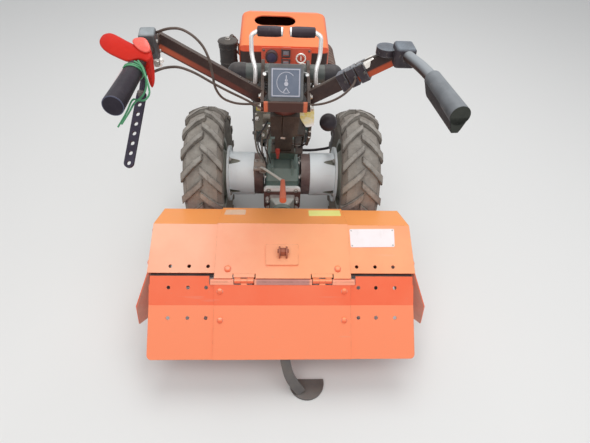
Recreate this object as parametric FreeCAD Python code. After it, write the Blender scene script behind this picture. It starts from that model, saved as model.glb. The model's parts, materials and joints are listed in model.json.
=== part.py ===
import FreeCAD, Part
import math
import os

# Walking tractor with a rear rotary tiller, in millimetres.
# +X is to the operator's right, +Y is forward towards the engine, +Z is up, and the ground is Z 0.
# Every place below is measured from the wheel axle's line, and AXLE_FROM_ORIGIN shifts it at the end.

V = FreeCAD.Vector
ALONG_X = V(1, 0, 0)
ALONG_Y = V(0, 1, 0)
ALONG_Z = V(0, 0, 1)
SIDES = (("left", -1), ("right", 1))

AXLE_FROM_ORIGIN = 95.5

# Fits and gaps
RUNNING_CLEARANCE = 0.05
FACE_GAP = 0.3
MOVING_GAP = 5.5

# Wheels: lugged tyres on ten inch rims, set out by wide spacer drums
TYRE_RADIUS = 252.0
TYRE_WIDTH = 142.0
TYRE_SECTION = 125.0
WHEEL_X = 278.0
LUG_HEIGHT = 15.0
LUG_COUNT = 18
LUG_WIDTH = 21.0
LUG_SLANT = 42.0
SHOULDER_DROP = 13.0
SIDEWALL_HEIGHT = 48.0
SIDEWALL_INSET = 4.0
TREAD_EDGE_INSET = 18.0
LUG_FOOT_DEPTH = 26.0
BEAD_RADIUS = TYRE_RADIUS - TYRE_SECTION
RIM_WIDTH = 104.0
RIM_FLANGE = 13.0
RIM_SHEET = 4.0
RIM_WELL_DEPTH = 16.0
RIM_SEAT_WIDTH = 24.0
RIM_WELL_SLOPE = 10.0
WHEEL_DISC_X = 208.0
WHEEL_DISC_DISH = 44.0
WHEEL_DISC_SHEET = 5.0
DISC_FLAT_RADIUS = 0.61 * BEAD_RADIUS
DISC_BEND_RADIUS = 0.79 * BEAD_RADIUS
DRUM_RADIUS = 0.66 * BEAD_RADIUS
DRUM_WALL = 6.0
DRUM_THICK_WALL = 14.0
DRUM_THICK_LENGTH = 62.0
DRUM_INNER_X = 106.0
DRUM_END_PLATE = 8.0
DRUM_FLANGE_RADIUS = 0.85 * BEAD_RADIUS
DRUM_BORE_MARGIN = 14.0
POCKET_TURNS = (62.0, 152.0, 242.0, 332.0)
POCKET_OUTSIDE = 8.0
POCKET_RADIUS = 17.0
POCKET_TIP_RADIUS = 2.0
POCKET_LENGTH = 78.0
HUB_RADIUS = 80.0
HUB_INNER_X = 72.0
HALF_SHAFT_RADIUS = 17.0
HALF_SHAFT_DEPTH = 36.0

# Gearbox with axle trumpets and bell housing
AXLE_Z = TYRE_RADIUS
GEARBOX_HALF_WIDTH = 60.0
GEARBOX_REAR_Y = -128.0
GEARBOX_FRONT_Y = 150.0
GEARBOX_BOTTOM_Z = 176.0
GEARBOX_DECK_Z = 352.0
GEARBOX_NOSE_Z = 400.0
TRUMPET_RADIUS = 46.0
BELL_RADIUS = 104.0
BELL_LENGTH = 46.0
PEDESTAL_HALF_WIDTH = 44.0
PEDESTAL_TOP_Z = 430.0
RIB_X = (-36.0, 36.0)
RIB_WIDTH = 8.0
RIB_HEIGHT = 9.0
CRANK_Z = 372.0
CASTING_ROUND = 10.0

# Engine
ENGINE_Y = GEARBOX_FRONT_Y + BELL_LENGTH
ENGINE_LENGTH = 250.0
ENGINE_HALF_WIDTH = 118.0
ENGINE_BOTTOM_Z = 268.0
ENGINE_TOP_Z = 486.0
SUMP_FOOT_HEIGHT = 16.0
SUMP_FOOT_INSET = 20.0
CRANKCASE_ROUND = 18.0
CYLINDER_HALF_WIDTH = 86.0
CYLINDER_LENGTH = 170.0
FIN_COUNT = 11
FIN_THICKNESS = 4.0
FIN_PITCH = 13.0
FIN_CORE_INSET = 22.0
FAN_RADIUS = 134.0
FAN_DEPTH = 62.0
STARTER_RADIUS = 84.0
STARTER_DEPTH = 30.0
STARTER_TAPER = 14.0
DUCT_HALF_WIDTH = 104.0
DUCT_HEIGHT = 190.0
GRILLE_SLOTS = 10
GRILLE_SLOT_WIDTH = 7.0
GRILLE_SLOT_DEPTH = 12.0
GRILLE_INNER_RADIUS = 26.0
GRILLE_OUTER_RADIUS = 62.0

# Air filter on the left, exhaust muffler on the right, guard tube in front
FILTER_RADIUS = 29.0
FILTER_CAP_RADIUS = 31.0
FILTER_CAP_HEIGHT = 14.0
FILTER_HEIGHT = 124.0
FILTER_Y = 92.0
FILTER_Z = 600.0
FILTER_DUCT_RADIUS = 18.0
FILTER_DUCT_Z = 620.0
FILTER_INLET_Y = 258.0
FILTER_INLET_Z = 600.0
MUFFLER_RADIUS = 40.0
MUFFLER_LENGTH = 190.0
MUFFLER_WALL = 3.0
MUFFLER_GAP = 4.0
MUFFLER_Z = 566.0
MUFFLER_INLET_RADIUS = 15.0
MUFFLER_INLET_Z = 580.0
TAIL_RADIUS = 13.0
TAIL_LENGTH = 30.0
BUMPER_TUBE_RADIUS = 14.0
BUMPER_WALL = 3.0
BUMPER_HALF_WIDTH = 120.0
BUMPER_HALF_TRACK = 80.0
BUMPER_GAP = 58.0
BUMPER_FRONT_Y = ENGINE_Y + ENGINE_LENGTH + FAN_DEPTH + STARTER_DEPTH + BUMPER_GAP
BUMPER_RISE = 50.0
BUMPER_BEND_Z = 330.0
BUMPER_TOP_Z = 470.0
BUMPER_FOOT_START = 30.0
BUMPER_PLATE = 10.0
BUMPER_PLATE_Z = (320.0, 400.0)
BALLAST_Z = 360.0
BALLAST_SPACING_X = 120.0
BALLAST_SPACING_Z = 50.0
BALLAST_HOLE_RADIUS = 6.5

# Engine hood, fuel tank and control panel
HOOD_HALF_WIDTH = 150.0
HOOD_REAR_Y = 58.0
HOOD_FRONT_Y = 440.0
HOOD_SKIRT_Z = 655.0
HOOD_REAR_Z = 731.0
HOOD_CREST_Y = 270.0
HOOD_CREST_Z = 764.0
HOOD_NOSE_Z = 712.0
HOOD_SHEET = 3.5
HOOD_ROUND = 22.0
FILLER_HOLE_X = -31.0
FILLER_HOLE_Y = 216.0
FILLER_HOLE_WIDTH = 143.0
FILLER_HOLE_LENGTH = 65.0
TANK_TOP_Z = 700.0
TANK_BOTTOM_Z = 636.0
TANK_CAP_RADIUS = 26.0
TANK_CAP_HEIGHT = 22.0
HOOD_TO_TANK = 8.0
TANK_REAR_GAP = 50.0
TANK_FRONT_GAP = 30.0
TANK_ROUND = 16.0
BRACKET_PLACES = (76.0, 190.0)
BRACKET_WIDTH = 30.0
BRACKET_SHEET = 5.0
BRACKET_DROP = 70.0
PAD_HALF_HEIGHT = 12.0
PANEL_X = 8.0
PANEL_HALF_WIDTH = 83.0
PANEL_BOTTOM_Z = 655.0
PANEL_THICKNESS = 6.0
PANEL_ROUND = 8.0
PANEL_CAP = (-48.0, 703.0, 12.0, 12.0)
PANEL_KEY = (47.0, 702.0, 9.0, 10.0)
SWITCH_LEVELS = (684.0, 718.0)
SWITCH_HALF = 13.0
SWITCH_RISE = 6.0

# Rear power take-off and the tiller's gear case
PTO_Z = 226.0
PTO_LENGTH = 52.0
PTO_FLANGE = 14.0
PTO_FLANGE_HALF_WIDTH = 68.0
PTO_FLANGE_ROUND = 16.0
PTO_TOP_Z = 264.0
PTO_BOTTOM_Z = 182.0
PTO_HALF_WIDTH = 48.0
PTO_REAR_HALF_WIDTH = 25.0
PTO_STRAIGHT = 14.0
PTO_LUG_LENGTH = 18.0
PTO_LUG_HALF = 9.0
PTO_COLLAR_RADIUS = 40.0
TYRE_TO_TILLER = 10.0
TILLER_Y = -(TYRE_RADIUS + TYRE_TO_TILLER)
NECK_RADIUS = 36.0
ROTOR_Y = TILLER_Y - 155.0
ROTOR_Z = 168.0
GEAR_CASE_HALF_WIDTH = 30.0
GEAR_CASE_RADIUS = 60.0
GEAR_CASE_HEAD_RADIUS = 52.0
NECK_LENGTH = 90.0
GEAR_CASE_HEAD_Y = TILLER_Y - NECK_LENGTH
CARRIER_HALF_WIDTH = 18.0
SOCKET_HALF_WIDTH = 22.0
SOCKET_HALF_HEIGHT = 18.0

# Rotor
ROTOR_SHAFT_RADIUS = 20.0
ROTOR_HALF_LENGTH = 330.0
TINE_FLANGE_X = (92.0, 204.0, 316.0)
TINE_FLANGE_RADIUS = 62.0
TINE_FLANGE_THICKNESS = 8.0
TINE_TIP_RADIUS = 154.0
TINE_THICKNESS = 7.0
TINE_WIDTH = 34.0
TINE_BLADE_REACH = 46.0
TINES_PER_FLANGE = 4

# Tiller hood: the outer line of its sheet as (y, z) from the front edge over the crease to the rear edge
HOOD_LINE = ((TILLER_Y, 272.0), (TILLER_Y - 4.0, 303.0), (TILLER_Y - 136.0, 361.0), (TILLER_Y - 284.0, 304.0))
TILLER_SHEET = 4.0
TILLER_HALF_WIDTH = 400.0
CENTRE_HALF_WIDTH = 203.0
PANEL_OVERLAP = 9.0
LIP_LENGTH = 18.0
LIP_NOTCH_DEPTH = 14.0
LIP_NOTCH_HALF = 34.0
SHIELD_SHEET = 4.0
SHIELD_BOTTOM_Z = 104.0
SHIELD_BEND_STEP = 9.0
SHIELD_BEND_LAP = 3.2
SHIELD_FRONT_STEP = 30.0
SHIELD_FRONT_Z = 150.0
# Corners of the flared end of the right shield, as (out from the hood's end, back from its edge, z)
SHIELD_FLARE = ((0.0, 0.0, 303.0), (43.0, 49.0, 203.0), (51.0, 54.0, 116.0), (1.5, -14.0, 104.0))

# Rear flap, hinged on the hood's rear edge
HINGE_Y = TILLER_Y - 304.0
HINGE_Z = 291.0
HINGE_PIN_RADIUS = 4.0
KNUCKLE_RADIUS = 7.5
KNUCKLE_X = (-115.0, 117.0)
KNUCKLE_LENGTH = 57.0
FLAP_LINE = ((TILLER_Y - 312.0, 284.0), (TILLER_Y - 355.0, 241.0), (TILLER_Y - 477.0, 143.0))
FLAP_TOP = (TILLER_Y - 294.0, 302.0)
FLAP_TOP_INSET = 14.0
FLAP_END_INSET = 3.0
FLAP_HALF_WIDTH = 393.0
FLAP_CORNER_ROUND = 14.0
PLATE_HOLE_RADIUS = 5.5
# Rows of holes in the hood's and flap's side sheets, as (distance down from a crease, x, x, x)
HOOD_HOLES = (138.0, 223.0, 279.0, 334.0)
FLAP_HOLES = ((-52.0, 226.0, 279.0, 336.0), (37.0, 226.0, 279.0, 336.0))
PLATE_X = (-48.0, 50.0)
PLATE_SHARES = (0.22, 0.80)
PLATE_THICKNESS = 5.0
LUG_X = (-8.0, 6.0)
LUG_REACH = 34.0

# Depth skid
SKID_BAR_WIDTH = 30.0
SKID_BAR_THICKNESS = 10.0
SKID_ROUTE = ((0.0, TILLER_Y - 238.0, 186.0), (0.0, TILLER_Y - 328.0, 186.0), (4.0, TILLER_Y - 454.0, 134.0),
              (22.0, TILLER_Y - 498.0, 66.0), (60.0, TILLER_Y - 517.0, 13.0))
SKID_FOOT_X = 78.0
SKID_FOOT_Y = TILLER_Y - 523.0
SKID_FOOT_RADIUS = 54.0
SKID_FOOT_DEPTH = 32.0
SKID_FOOT_THICKNESS = 9.0

# Steering column, swivel head and cross tube
COLUMN_HALF_WIDTH = 40.0
COLUMN_NECK_HALF_WIDTH = 28.0
COLUMN_NECK_TOP_Z = 560.0
COLUMN_DEPTH = 58.0
COLUMN_PLATE = 9.0
COLUMN_COVER_RISE = 12.0
COLUMN_SEAM_X = -7.0
COLUMN_SEAM = 3.0
COLUMN_FOOT_Y = -4.0
SWIVEL_Y = -290.0
SWIVEL_Z = 700.0
SWIVEL_PIN_RADIUS = 15.0
SWIVEL_PIN_HEIGHT = 26.0
HEAD_RADIUS = 34.0
HEAD_HEIGHT = 30.0
PIVOT_Y = -233.0
PIVOT_Z = 776.0
CROSS_TUBE_RADIUS = 24.0
CROSS_TUBE_HALF_LENGTH = 106.0
SADDLE_HALF_WIDTH = 24.0
CAP_RADIUS = 25.5
CAP_LENGTH = 24.0
BRACE_Y = -353.0
BRACE_Z = 742.0
BRACE_HEIGHT = 26.0
BRACE_THICKNESS = 8.0

# Handlebars: plates on the cross tube's ends, rising arms, grips
YOKE_X = 56.0
YOKE_THICKNESS = 8.0
YOKE_EYE_RADIUS = 34.0
YOKE_END_Y = -316.0
YOKE_END_Z = 749.0
ARM_HEIGHT = 34.0
ARM_THICKNESS = 20.0
# For each side: the arm's outer end, and where the grip starts and ends, all with x drawn to the right
HANDLE_PLACES = {
    "left": ((290.0, -378.0, 915.0), (293.0, -545.0, 925.0), (297.0, -680.0, 925.0)),
    "right": ((262.0, -388.0, 905.0), (279.0, -528.0, 925.0), (293.0, -690.0, 925.0)),
}
GRIP_TUBE_RADIUS = 12.0
GRIP_RADIUS = 16.5
GRIP_END_RADIUS = 18.5
GRIP_LENGTH = 140.0
GRIP_END_CAP = 8.0

# Controls on the left handle: a switch box, the red dead-man lever and the slotted clutch lever below
CONTROL_BOX_MIDDLE = (-294.0, -424.0, 920.0)
CONTROL_BOX_SIZE = (33.0, 46.0, 60.0)
CONTROL_BOX_TURN = 8.0
# The lever's middle line with its width at each point, then the strap along the grip
STOP_LEVER_LINE = (((-284.0, -446.0, 938.0), 50.0), ((-294.0, -484.0, 956.0), 56.0), ((-337.0, -522.0, 968.0), 48.0))
STOP_LEVER_SHEET = 5.0
STOP_STRAP_LINE = ((-266.0, -470.0, 948.0), (-262.0, -506.0, 928.0), (-290.0, -527.0, 864.0))
STOP_STRAP_WIDTH = 12.0
CLUTCH_TOP = (-303.0, -520.0, 855.0)
CLUTCH_END = (-319.0, -639.0, 770.0)
CLUTCH_WIDTH = 20.0
CLUTCH_SHEET = 5.0
CLUTCH_HOLE_RADIUS = 4.5
CLUTCH_HOLE_COUNT = 7
CLUTCH_ROD_RADIUS = 6.0

# Cast elbow and thumb lever on the right handle
ELBOW_SIZE = (44.0, 52.0, 42.0)
THUMB_LEVER_RADIUS = 24.0
THUMB_LEVER_HEIGHT = 16.0
THUMB_LEVER_SHARE = 0.83
CLAMP_SHARES = (0.42, 0.52, 0.62)
CLAMP_LENGTH = 22.0
CLAMP_MARGIN = 5.0

# Control cables: two from the left handle's box and strap to the left plate, one from the right plate to a clamp
CABLE_RADIUS = 2.75
CABLE_ROUTES = {
    "box": ((-284.0, -405.0, 938.0), (-254.0, -409.0, 950.0), (-226.0, -414.0, 953.0), (-201.0, -418.0, 941.0),
            (-181.0, -424.0, 922.0), (-169.0, -432.0, 896.0), (-165.0, -437.0, 866.0), (-164.0, -431.0, 830.0),
            (-152.0, -416.0, 796.0), (-124.0, -395.0, 772.0), (-92.0, -370.0, 757.0), (-60.0, -350.0, 750.0)),
    "strap": ((-273.0, -515.0, 903.0), (-253.0, -492.0, 903.0), (-230.0, -468.0, 895.0), (-200.0, -456.0, 877.0),
              (-166.0, -449.0, 851.0), (-132.0, -429.0, 820.0), (-98.0, -396.0, 784.0), (-60.0, -357.0, 738.0)),
    "clamp": ((60.0, -352.0, 748.0), (92.0, -371.0, 762.0), (120.0, -389.0, 784.0), (143.0, -397.0, 806.0),
              (165.0, -383.0, 826.0), (170.0, -350.0, 833.0)),
}

# Levers on the gearbox: the power take-off's lever on the left, the gear lever with its ball on the right
PTO_LEVER_ROUTE = ((-60.0, -92.0, 330.0), (-82.0, -92.0, 330.0), (-78.0, -122.0, 378.0), (0.0, -204.0, 380.0))
PTO_LEVER_RADIUS = 4.5
PTO_GRIP_LENGTH = 102.0
PTO_GRIP_RADII = (7.5, 11.5)
GEAR_LEVER_ROUTE = ((60.0, 40.0, 338.0), (120.0, 40.0, 338.0), (184.0, 32.0, 356.0), (160.0, -180.0, 560.0),
                    (136.0, -230.0, 618.0))
GEAR_LEVER_RADIUS = 5.0
GEAR_BALL_RADIUS = 26.0

# Console and hand levers on the head
CONSOLE_HALF_WIDTH = 45.0
CONSOLE_HEIGHT = 90.0
CONSOLE_DEPTH = 34.0
CONSOLE_TILT = 28.0
CONSOLE_Y = -318.0
CONSOLE_Z = 790.0
CONSOLE_ROUND = 8.0
CONSOLE_POST_HALF = 16.0
CONSOLE_POST_DEPTH = 12.0
LEVER_ROD_RADIUS = 5.5
LEVER_GRIP_RADIUS = 11.0
LEVER_GRIP_LENGTH = 62.0
LEVER_ROUTE = ((82.0, -240.0, 766.0), (81.0, -294.0, 758.0), (77.0, -284.0, 806.0), (88.0, -262.0, 838.0),
               (88.0, -250.0, 882.0), (71.0, -247.0, 890.0))


def box(x0, x1, y0, y1, z0, z1):
    return Part.makeBox(x1 - x0, y1 - y0, z1 - z0, V(x0, y0, z0))


def cylinder(radius, length, base, direction):
    return Part.makeCylinder(radius, length, V(*base), direction)


def fuse(shapes):
    if len(shapes) == 1:
        return shapes[0]
    return shapes[0].multiFuse(list(shapes[1:])).removeSplitter()


def rounded(shape, radius, wanted):
    """Rounds the edges that the test picks by their middle point and direction."""
    edges = [edge for edge in shape.Edges if wanted(edge)]
    return shape.makeFillet(radius, edges)


def runs_along(edge, direction):
    if len(edge.Vertexes) != 2:
        return False
    span = edge.Vertexes[1].Point.sub(edge.Vertexes[0].Point)
    return span.Length > 1e-6 and abs(span.normalize().dot(direction)) > 0.999


def polygon(points):
    return Part.Face(Part.makePolygon([V(*point) for point in points] + [V(*points[0])]))


def slab_in_yz(points, x0, x1):
    """A plate whose outline is a list of (y, z), between two values of x."""
    return polygon([(x0, y, z) for y, z in points]).extrude(V(x1 - x0, 0, 0))


def offset_line(points, distance):
    """Moves a (y, z) line sideways by a distance, with mitred corners, to the left of its direction."""
    normals = []
    for (y0, z0), (y1, z1) in zip(points, points[1:]):
        length = math.hypot(y1 - y0, z1 - z0)
        normals.append(((z1 - z0) / length, -(y1 - y0) / length))
    moved = []
    for index, (y, z) in enumerate(points):
        before = normals[max(index - 1, 0)]
        after = normals[min(index, len(normals) - 1)]
        bisector = (before[0] + after[0], before[1] + after[1])
        share = distance * 2.0 / (bisector[0] ** 2 + bisector[1] ** 2)
        moved.append((y + bisector[0] * share, z + bisector[1] * share))
    return moved


def bent_sheet(line, thickness, x0, x1):
    """Sheet metal bent along a (y, z) line that is its upper face, going towards the rear."""
    lower = offset_line(line, -thickness)
    return slab_in_yz(list(line) + lower[::-1], x0, x1)


def mirrored(shape):
    return shape.mirror(V(0, 0, 0), ALONG_X)


def for_side(shape, side):
    """A shape drawn for the right side, or its mirror image for the left."""
    return shape if side > 0 else mirrored(shape)


def ring(profile, axis_point):
    """Turns a closed list of (x, radius) about a line along X."""
    points = [(x, axis_point[0], axis_point[1] + radius) for x, radius in profile]
    return polygon(points).revolve(V(0, *axis_point), ALONG_X, 360)


def around_x(shape, point, angle):
    turned = shape.copy()
    turned.rotate(V(0, *point), ALONG_X, angle)
    return turned


def rounded_path(points, share=0.45):
    """Straight runs joined by tangent arcs, each as large as its two runs allow."""
    spots = [V(*point) for point in points]
    edges = []
    start = spots[0]
    for before, corner, after in zip(spots, spots[1:], spots[2:]):
        back = before.sub(corner)
        on = after.sub(corner)
        reach = share * min(back.Length, on.Length)
        back.normalize()
        on.normalize()
        entry = corner + back * reach
        leave = corner + on * reach
        middle = back + on
        middle.normalize()
        half_turn = (math.pi - back.getAngle(on)) / 2.0
        radius = reach / math.tan(half_turn)
        centre = corner + middle * (radius / math.cos(half_turn))
        top = centre - middle * radius
        edges.append(Part.LineSegment(start, entry).toShape())
        edges.append(Part.Arc(entry, top, leave).toShape())
        start = leave
    edges.append(Part.LineSegment(start, spots[-1]).toShape())
    return Part.Wire(edges)


def round_bar(points, radius, share=0.45):
    path = rounded_path(points, share)
    heading = V(*points[1]).sub(V(*points[0]))
    section = Part.Wire(Part.Circle(V(*points[0]), heading, radius).toShape())
    return path.makePipeShell([section], True, False)


def flat_bar(points, width, thickness, width_direction):
    """A rectangular bar along a path, its width along a direction square to the first run."""
    path = rounded_path(points)
    start = V(*points[0])
    heading = V(*points[1]).sub(start)
    heading.normalize()
    across = width_direction - heading * width_direction.dot(heading)
    across.normalize()
    depth = heading.cross(across)
    corners = []
    for side, level in ((-1, -1), (1, -1), (1, 1), (-1, 1)):
        corners.append(start + across * (side * width / 2.0) + depth * (level * thickness / 2.0))
    section = Part.makePolygon(corners + [corners[0]])
    return path.makePipeShell([section], True, False)


def rod(start, end, radius):
    span = V(*end).sub(V(*start))
    return Part.makeCylinder(radius, span.Length, V(*start), span)


# Wheels

def tread_profile():
    """The tyre's outer section as (x, radius), from one bead over the tread to the other."""
    half = TYRE_WIDTH / 2.0
    base = TYRE_RADIUS - LUG_HEIGHT
    bead = RIM_WIDTH / 2.0 - RIM_SHEET - FACE_GAP
    inner = BEAD_RADIUS + FACE_GAP
    outline = [(-bead, inner), (-bead, BEAD_RADIUS + RIM_FLANGE + 2.0)]
    outline += [(-half + SIDEWALL_INSET, inner + SIDEWALL_HEIGHT)]
    outline += [(-half + SIDEWALL_INSET, base - 2.0 * SHOULDER_DROP)]
    outline += [(-half + TREAD_EDGE_INSET, base - SHOULDER_DROP / 2.0)]
    outline += [(-half / 3.0, base), (half / 3.0, base)]
    return outline + [(-x, radius) for x, radius in outline[4::-1]]


def lug(turn, hand):
    """One chevron bar from the tread's middle to the shoulder, at an angle round the tyre."""
    half = TYRE_WIDTH / 2.0
    slant = math.radians(LUG_SLANT)
    inner = (-4.0, 0.0)
    outer = (half - 1.0, -(half + 3.0) * math.tan(slant))
    across = (LUG_WIDTH / 2.0) / math.cos(slant)
    bottom = TYRE_RADIUS - LUG_HEIGHT - SHOULDER_DROP - LUG_FOOT_DEPTH
    outline = [(inner[0], inner[1] - across * 0.8), (outer[0], outer[1] - across),
               (outer[0], outer[1] + across), (inner[0], inner[1] + across * 0.8)]
    bar = polygon([(x * hand, around, bottom) for x, around in outline])
    bar = bar.extrude(V(0, 0, TYRE_RADIUS + 6.0 - bottom))
    bar.rotate(V(0, 0, 0), ALONG_X, turn)
    return bar


def tyre():
    """A tyre about the X axis through the origin."""
    half = TYRE_WIDTH / 2.0
    carcass = ring(tread_profile(), (0.0, 0.0))
    top = TYRE_RADIUS
    edge = top - 1.6 * SHOULDER_DROP
    foot = BEAD_RADIUS + SIDEWALL_HEIGHT
    turn = half - SHOULDER_DROP
    envelope = ring([(-half, foot), (-half, edge), (-turn, top - SHOULDER_DROP), (-half / 3.0, top),
                     (half / 3.0, top), (turn, top - SHOULDER_DROP), (half, edge), (half, foot)], (0.0, 0.0))
    step = 360.0 / LUG_COUNT
    bars = []
    for number in range(LUG_COUNT):
        bars.append(lug(number * step, 1))
        bars.append(lug((number + 0.5) * step, -1))
    cut = Part.makeCompound(bars).common(envelope)
    return carcass.multiFuse(cut.Solids)


def at_wheel(shape, side):
    placed = for_side(shape, side)
    placed.translate(V(0, 0, AXLE_Z))
    return placed


def rim():
    """A drop-centre rim with its dished disc, drawn for the right side about the axle's line."""
    inner = WHEEL_X - RIM_WIDTH / 2.0
    outer = WHEEL_X + RIM_WIDTH / 2.0
    seat = BEAD_RADIUS
    well = BEAD_RADIUS - RIM_WELL_DEPTH
    sheet = RIM_SHEET
    turn = RIM_SEAT_WIDTH
    deep = RIM_SEAT_WIDTH + RIM_WELL_SLOPE
    shell = [(inner, seat + RIM_FLANGE), (inner + sheet, seat + RIM_FLANGE), (inner + sheet, seat),
             (inner + turn, seat), (inner + deep, well), (outer - deep, well), (outer - turn, seat),
             (outer - sheet, seat), (outer - sheet, seat + RIM_FLANGE), (outer, seat + RIM_FLANGE),
             (outer, seat - sheet), (outer - turn + 2.0, seat - sheet), (outer - deep + 2.0, well - sheet),
             (inner + deep - 2.0, well - sheet), (inner + turn - 2.0, seat - sheet), (inner, seat - sheet)]
    barrel = ring(shell, (0.0, 0.0))
    disc_out = WHEEL_DISC_X + WHEEL_DISC_DISH
    plate = WHEEL_DISC_SHEET
    hole = HALF_SHAFT_RADIUS + DRUM_BORE_MARGIN
    disc = ring([(WHEEL_DISC_X, hole), (WHEEL_DISC_X, DISC_FLAT_RADIUS), (disc_out - 12.0, DISC_BEND_RADIUS),
                 (disc_out, well - sheet), (disc_out + 8.0, well - sheet),
                 (disc_out - 4.0, DISC_BEND_RADIUS - plate),
                 (WHEEL_DISC_X + plate, DISC_FLAT_RADIUS - plate), (WHEEL_DISC_X + plate, hole)], (0.0, 0.0))
    return fuse([barrel, disc])


def drum():
    """The wide spacer between hub and wheel disc: a tube with an end plate, a flange and bolt pockets."""
    outer_x = WHEEL_DISC_X
    centre_hole = HALF_SHAFT_RADIUS + DRUM_BORE_MARGIN
    shell = ring([(DRUM_INNER_X, centre_hole), (DRUM_INNER_X, DRUM_RADIUS),
                  (outer_x - DRUM_END_PLATE, DRUM_RADIUS), (outer_x - DRUM_END_PLATE, DRUM_FLANGE_RADIUS),
                  (outer_x, DRUM_FLANGE_RADIUS), (outer_x, DRUM_RADIUS - DRUM_THICK_WALL),
                  (outer_x - DRUM_THICK_LENGTH, DRUM_RADIUS - DRUM_THICK_WALL),
                  (outer_x - DRUM_THICK_LENGTH - 8.0, DRUM_RADIUS - DRUM_WALL),
                  (DRUM_INNER_X + DRUM_END_PLATE, DRUM_RADIUS - DRUM_WALL),
                  (DRUM_INNER_X + DRUM_END_PLATE, centre_hole)], (0.0, 0.0))
    base_x = outer_x - DRUM_END_PLATE
    pockets = []
    for turn in POCKET_TURNS:
        cone = Part.makeCone(POCKET_RADIUS, POCKET_TIP_RADIUS, POCKET_LENGTH,
                             V(base_x, 0, DRUM_RADIUS + POCKET_OUTSIDE), V(-1, 0, 0))
        pockets.append(around_x(cone, (0.0, 0.0), turn))
    return shell.cut(Part.makeCompound(pockets))


def hub():
    """The half shaft's end with its flange, running in the gearbox."""
    flange = cylinder(HUB_RADIUS, DRUM_INNER_X - HUB_INNER_X, (HUB_INNER_X, 0, 0), ALONG_X)
    shaft = cylinder(HALF_SHAFT_RADIUS, HALF_SHAFT_DEPTH, (HUB_INNER_X - HALF_SHAFT_DEPTH, 0, 0), ALONG_X)
    return fuse([flange, shaft])


# Gearbox, engine and their covers

def gearbox_housing():
    half = GEARBOX_HALF_WIDTH
    outline = [(GEARBOX_REAR_Y, GEARBOX_BOTTOM_Z + 24.0), (GEARBOX_REAR_Y, GEARBOX_DECK_Z - 34.0),
               (GEARBOX_REAR_Y + 30.0, GEARBOX_DECK_Z), (GEARBOX_FRONT_Y - 110.0, GEARBOX_DECK_Z),
               (GEARBOX_FRONT_Y - 64.0, GEARBOX_NOSE_Z), (GEARBOX_FRONT_Y, GEARBOX_NOSE_Z),
               (GEARBOX_FRONT_Y, GEARBOX_BOTTOM_Z + 60.0), (GEARBOX_FRONT_Y - 70.0, GEARBOX_BOTTOM_Z),
               (GEARBOX_REAR_Y + 40.0, GEARBOX_BOTTOM_Z)]
    body = slab_in_yz(outline, -half, half)
    body = rounded(body, CASTING_ROUND, lambda edge: not runs_along(edge, ALONG_X)
                   and abs(edge.CenterOfMass.x) > half - 0.1)
    trumpet_end = HUB_INNER_X - MOVING_GAP
    pieces = [body, cylinder(TRUMPET_RADIUS, 2.0 * trumpet_end, (-trumpet_end, 0, AXLE_Z), ALONG_X)]
    pieces.append(Part.makeCone(CRANK_Z - GEARBOX_BOTTOM_Z - 120.0, BELL_RADIUS, BELL_LENGTH - 10.0,
                                V(0, GEARBOX_FRONT_Y - 2.0, CRANK_Z), ALONG_Y))
    pieces.append(cylinder(BELL_RADIUS + 8.0, 12.0, (0, ENGINE_Y - 12.0, CRANK_Z), ALONG_Y))
    pieces.append(column_slab(GEARBOX_DECK_Z - 1.0, PEDESTAL_TOP_Z, PEDESTAL_HALF_WIDTH))
    for x in RIB_X:
        rib = [(GEARBOX_REAR_Y + 2.0, GEARBOX_DECK_Z - 40.0), (GEARBOX_REAR_Y + 28.0, GEARBOX_DECK_Z + RIB_HEIGHT),
               (column_y(GEARBOX_DECK_Z), GEARBOX_DECK_Z + RIB_HEIGHT), (column_y(GEARBOX_DECK_Z), GEARBOX_DECK_Z - 40.0)]
        pieces.append(slab_in_yz(rib, x - RIB_WIDTH / 2.0, x + RIB_WIDTH / 2.0))
    housing = fuse(pieces)
    bore = HALF_SHAFT_RADIUS + RUNNING_CLEARANCE
    for side in (-1, 1):
        base = (side * (HUB_INNER_X - HALF_SHAFT_DEPTH - 1.0), 0, AXLE_Z)
        housing = housing.cut(cylinder(bore, HALF_SHAFT_DEPTH, base, V(side, 0, 0)))
    return housing


def engine_block():
    """The crankcase, one plain block with rounded edges and a sump foot."""
    half = ENGINE_HALF_WIDTH
    block = box(-half, half, ENGINE_Y, ENGINE_Y + ENGINE_LENGTH, ENGINE_BOTTOM_Z, ENGINE_TOP_Z)
    block = rounded(block, CRANKCASE_ROUND, lambda edge: runs_along(edge, ALONG_Y))
    inset = SUMP_FOOT_INSET
    foot = box(-half + inset, half - inset, ENGINE_Y + inset, ENGINE_Y + ENGINE_LENGTH - inset,
               ENGINE_BOTTOM_Z - SUMP_FOOT_HEIGHT, ENGINE_BOTTOM_Z)
    return fuse([block, foot])


def engine_cylinder():
    """A finned cylinder standing on the crankcase, with its rocker cover."""
    half = CYLINDER_HALF_WIDTH
    middle = ENGINE_Y + ENGINE_LENGTH / 2.0
    y0 = middle - CYLINDER_LENGTH / 2.0
    y1 = middle + CYLINDER_LENGTH / 2.0
    top = ENGINE_TOP_Z + FIN_COUNT * FIN_PITCH
    inset = FIN_CORE_INSET
    pieces = [box(-half + inset, half - inset, y0 + inset, y1 - inset, ENGINE_TOP_Z, top)]
    for number in range(FIN_COUNT):
        level = ENGINE_TOP_Z + (number + 1) * FIN_PITCH - FIN_THICKNESS
        pieces.append(box(-half, half, y0, y1, level, level + FIN_THICKNESS))
    return fuse(pieces)


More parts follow.
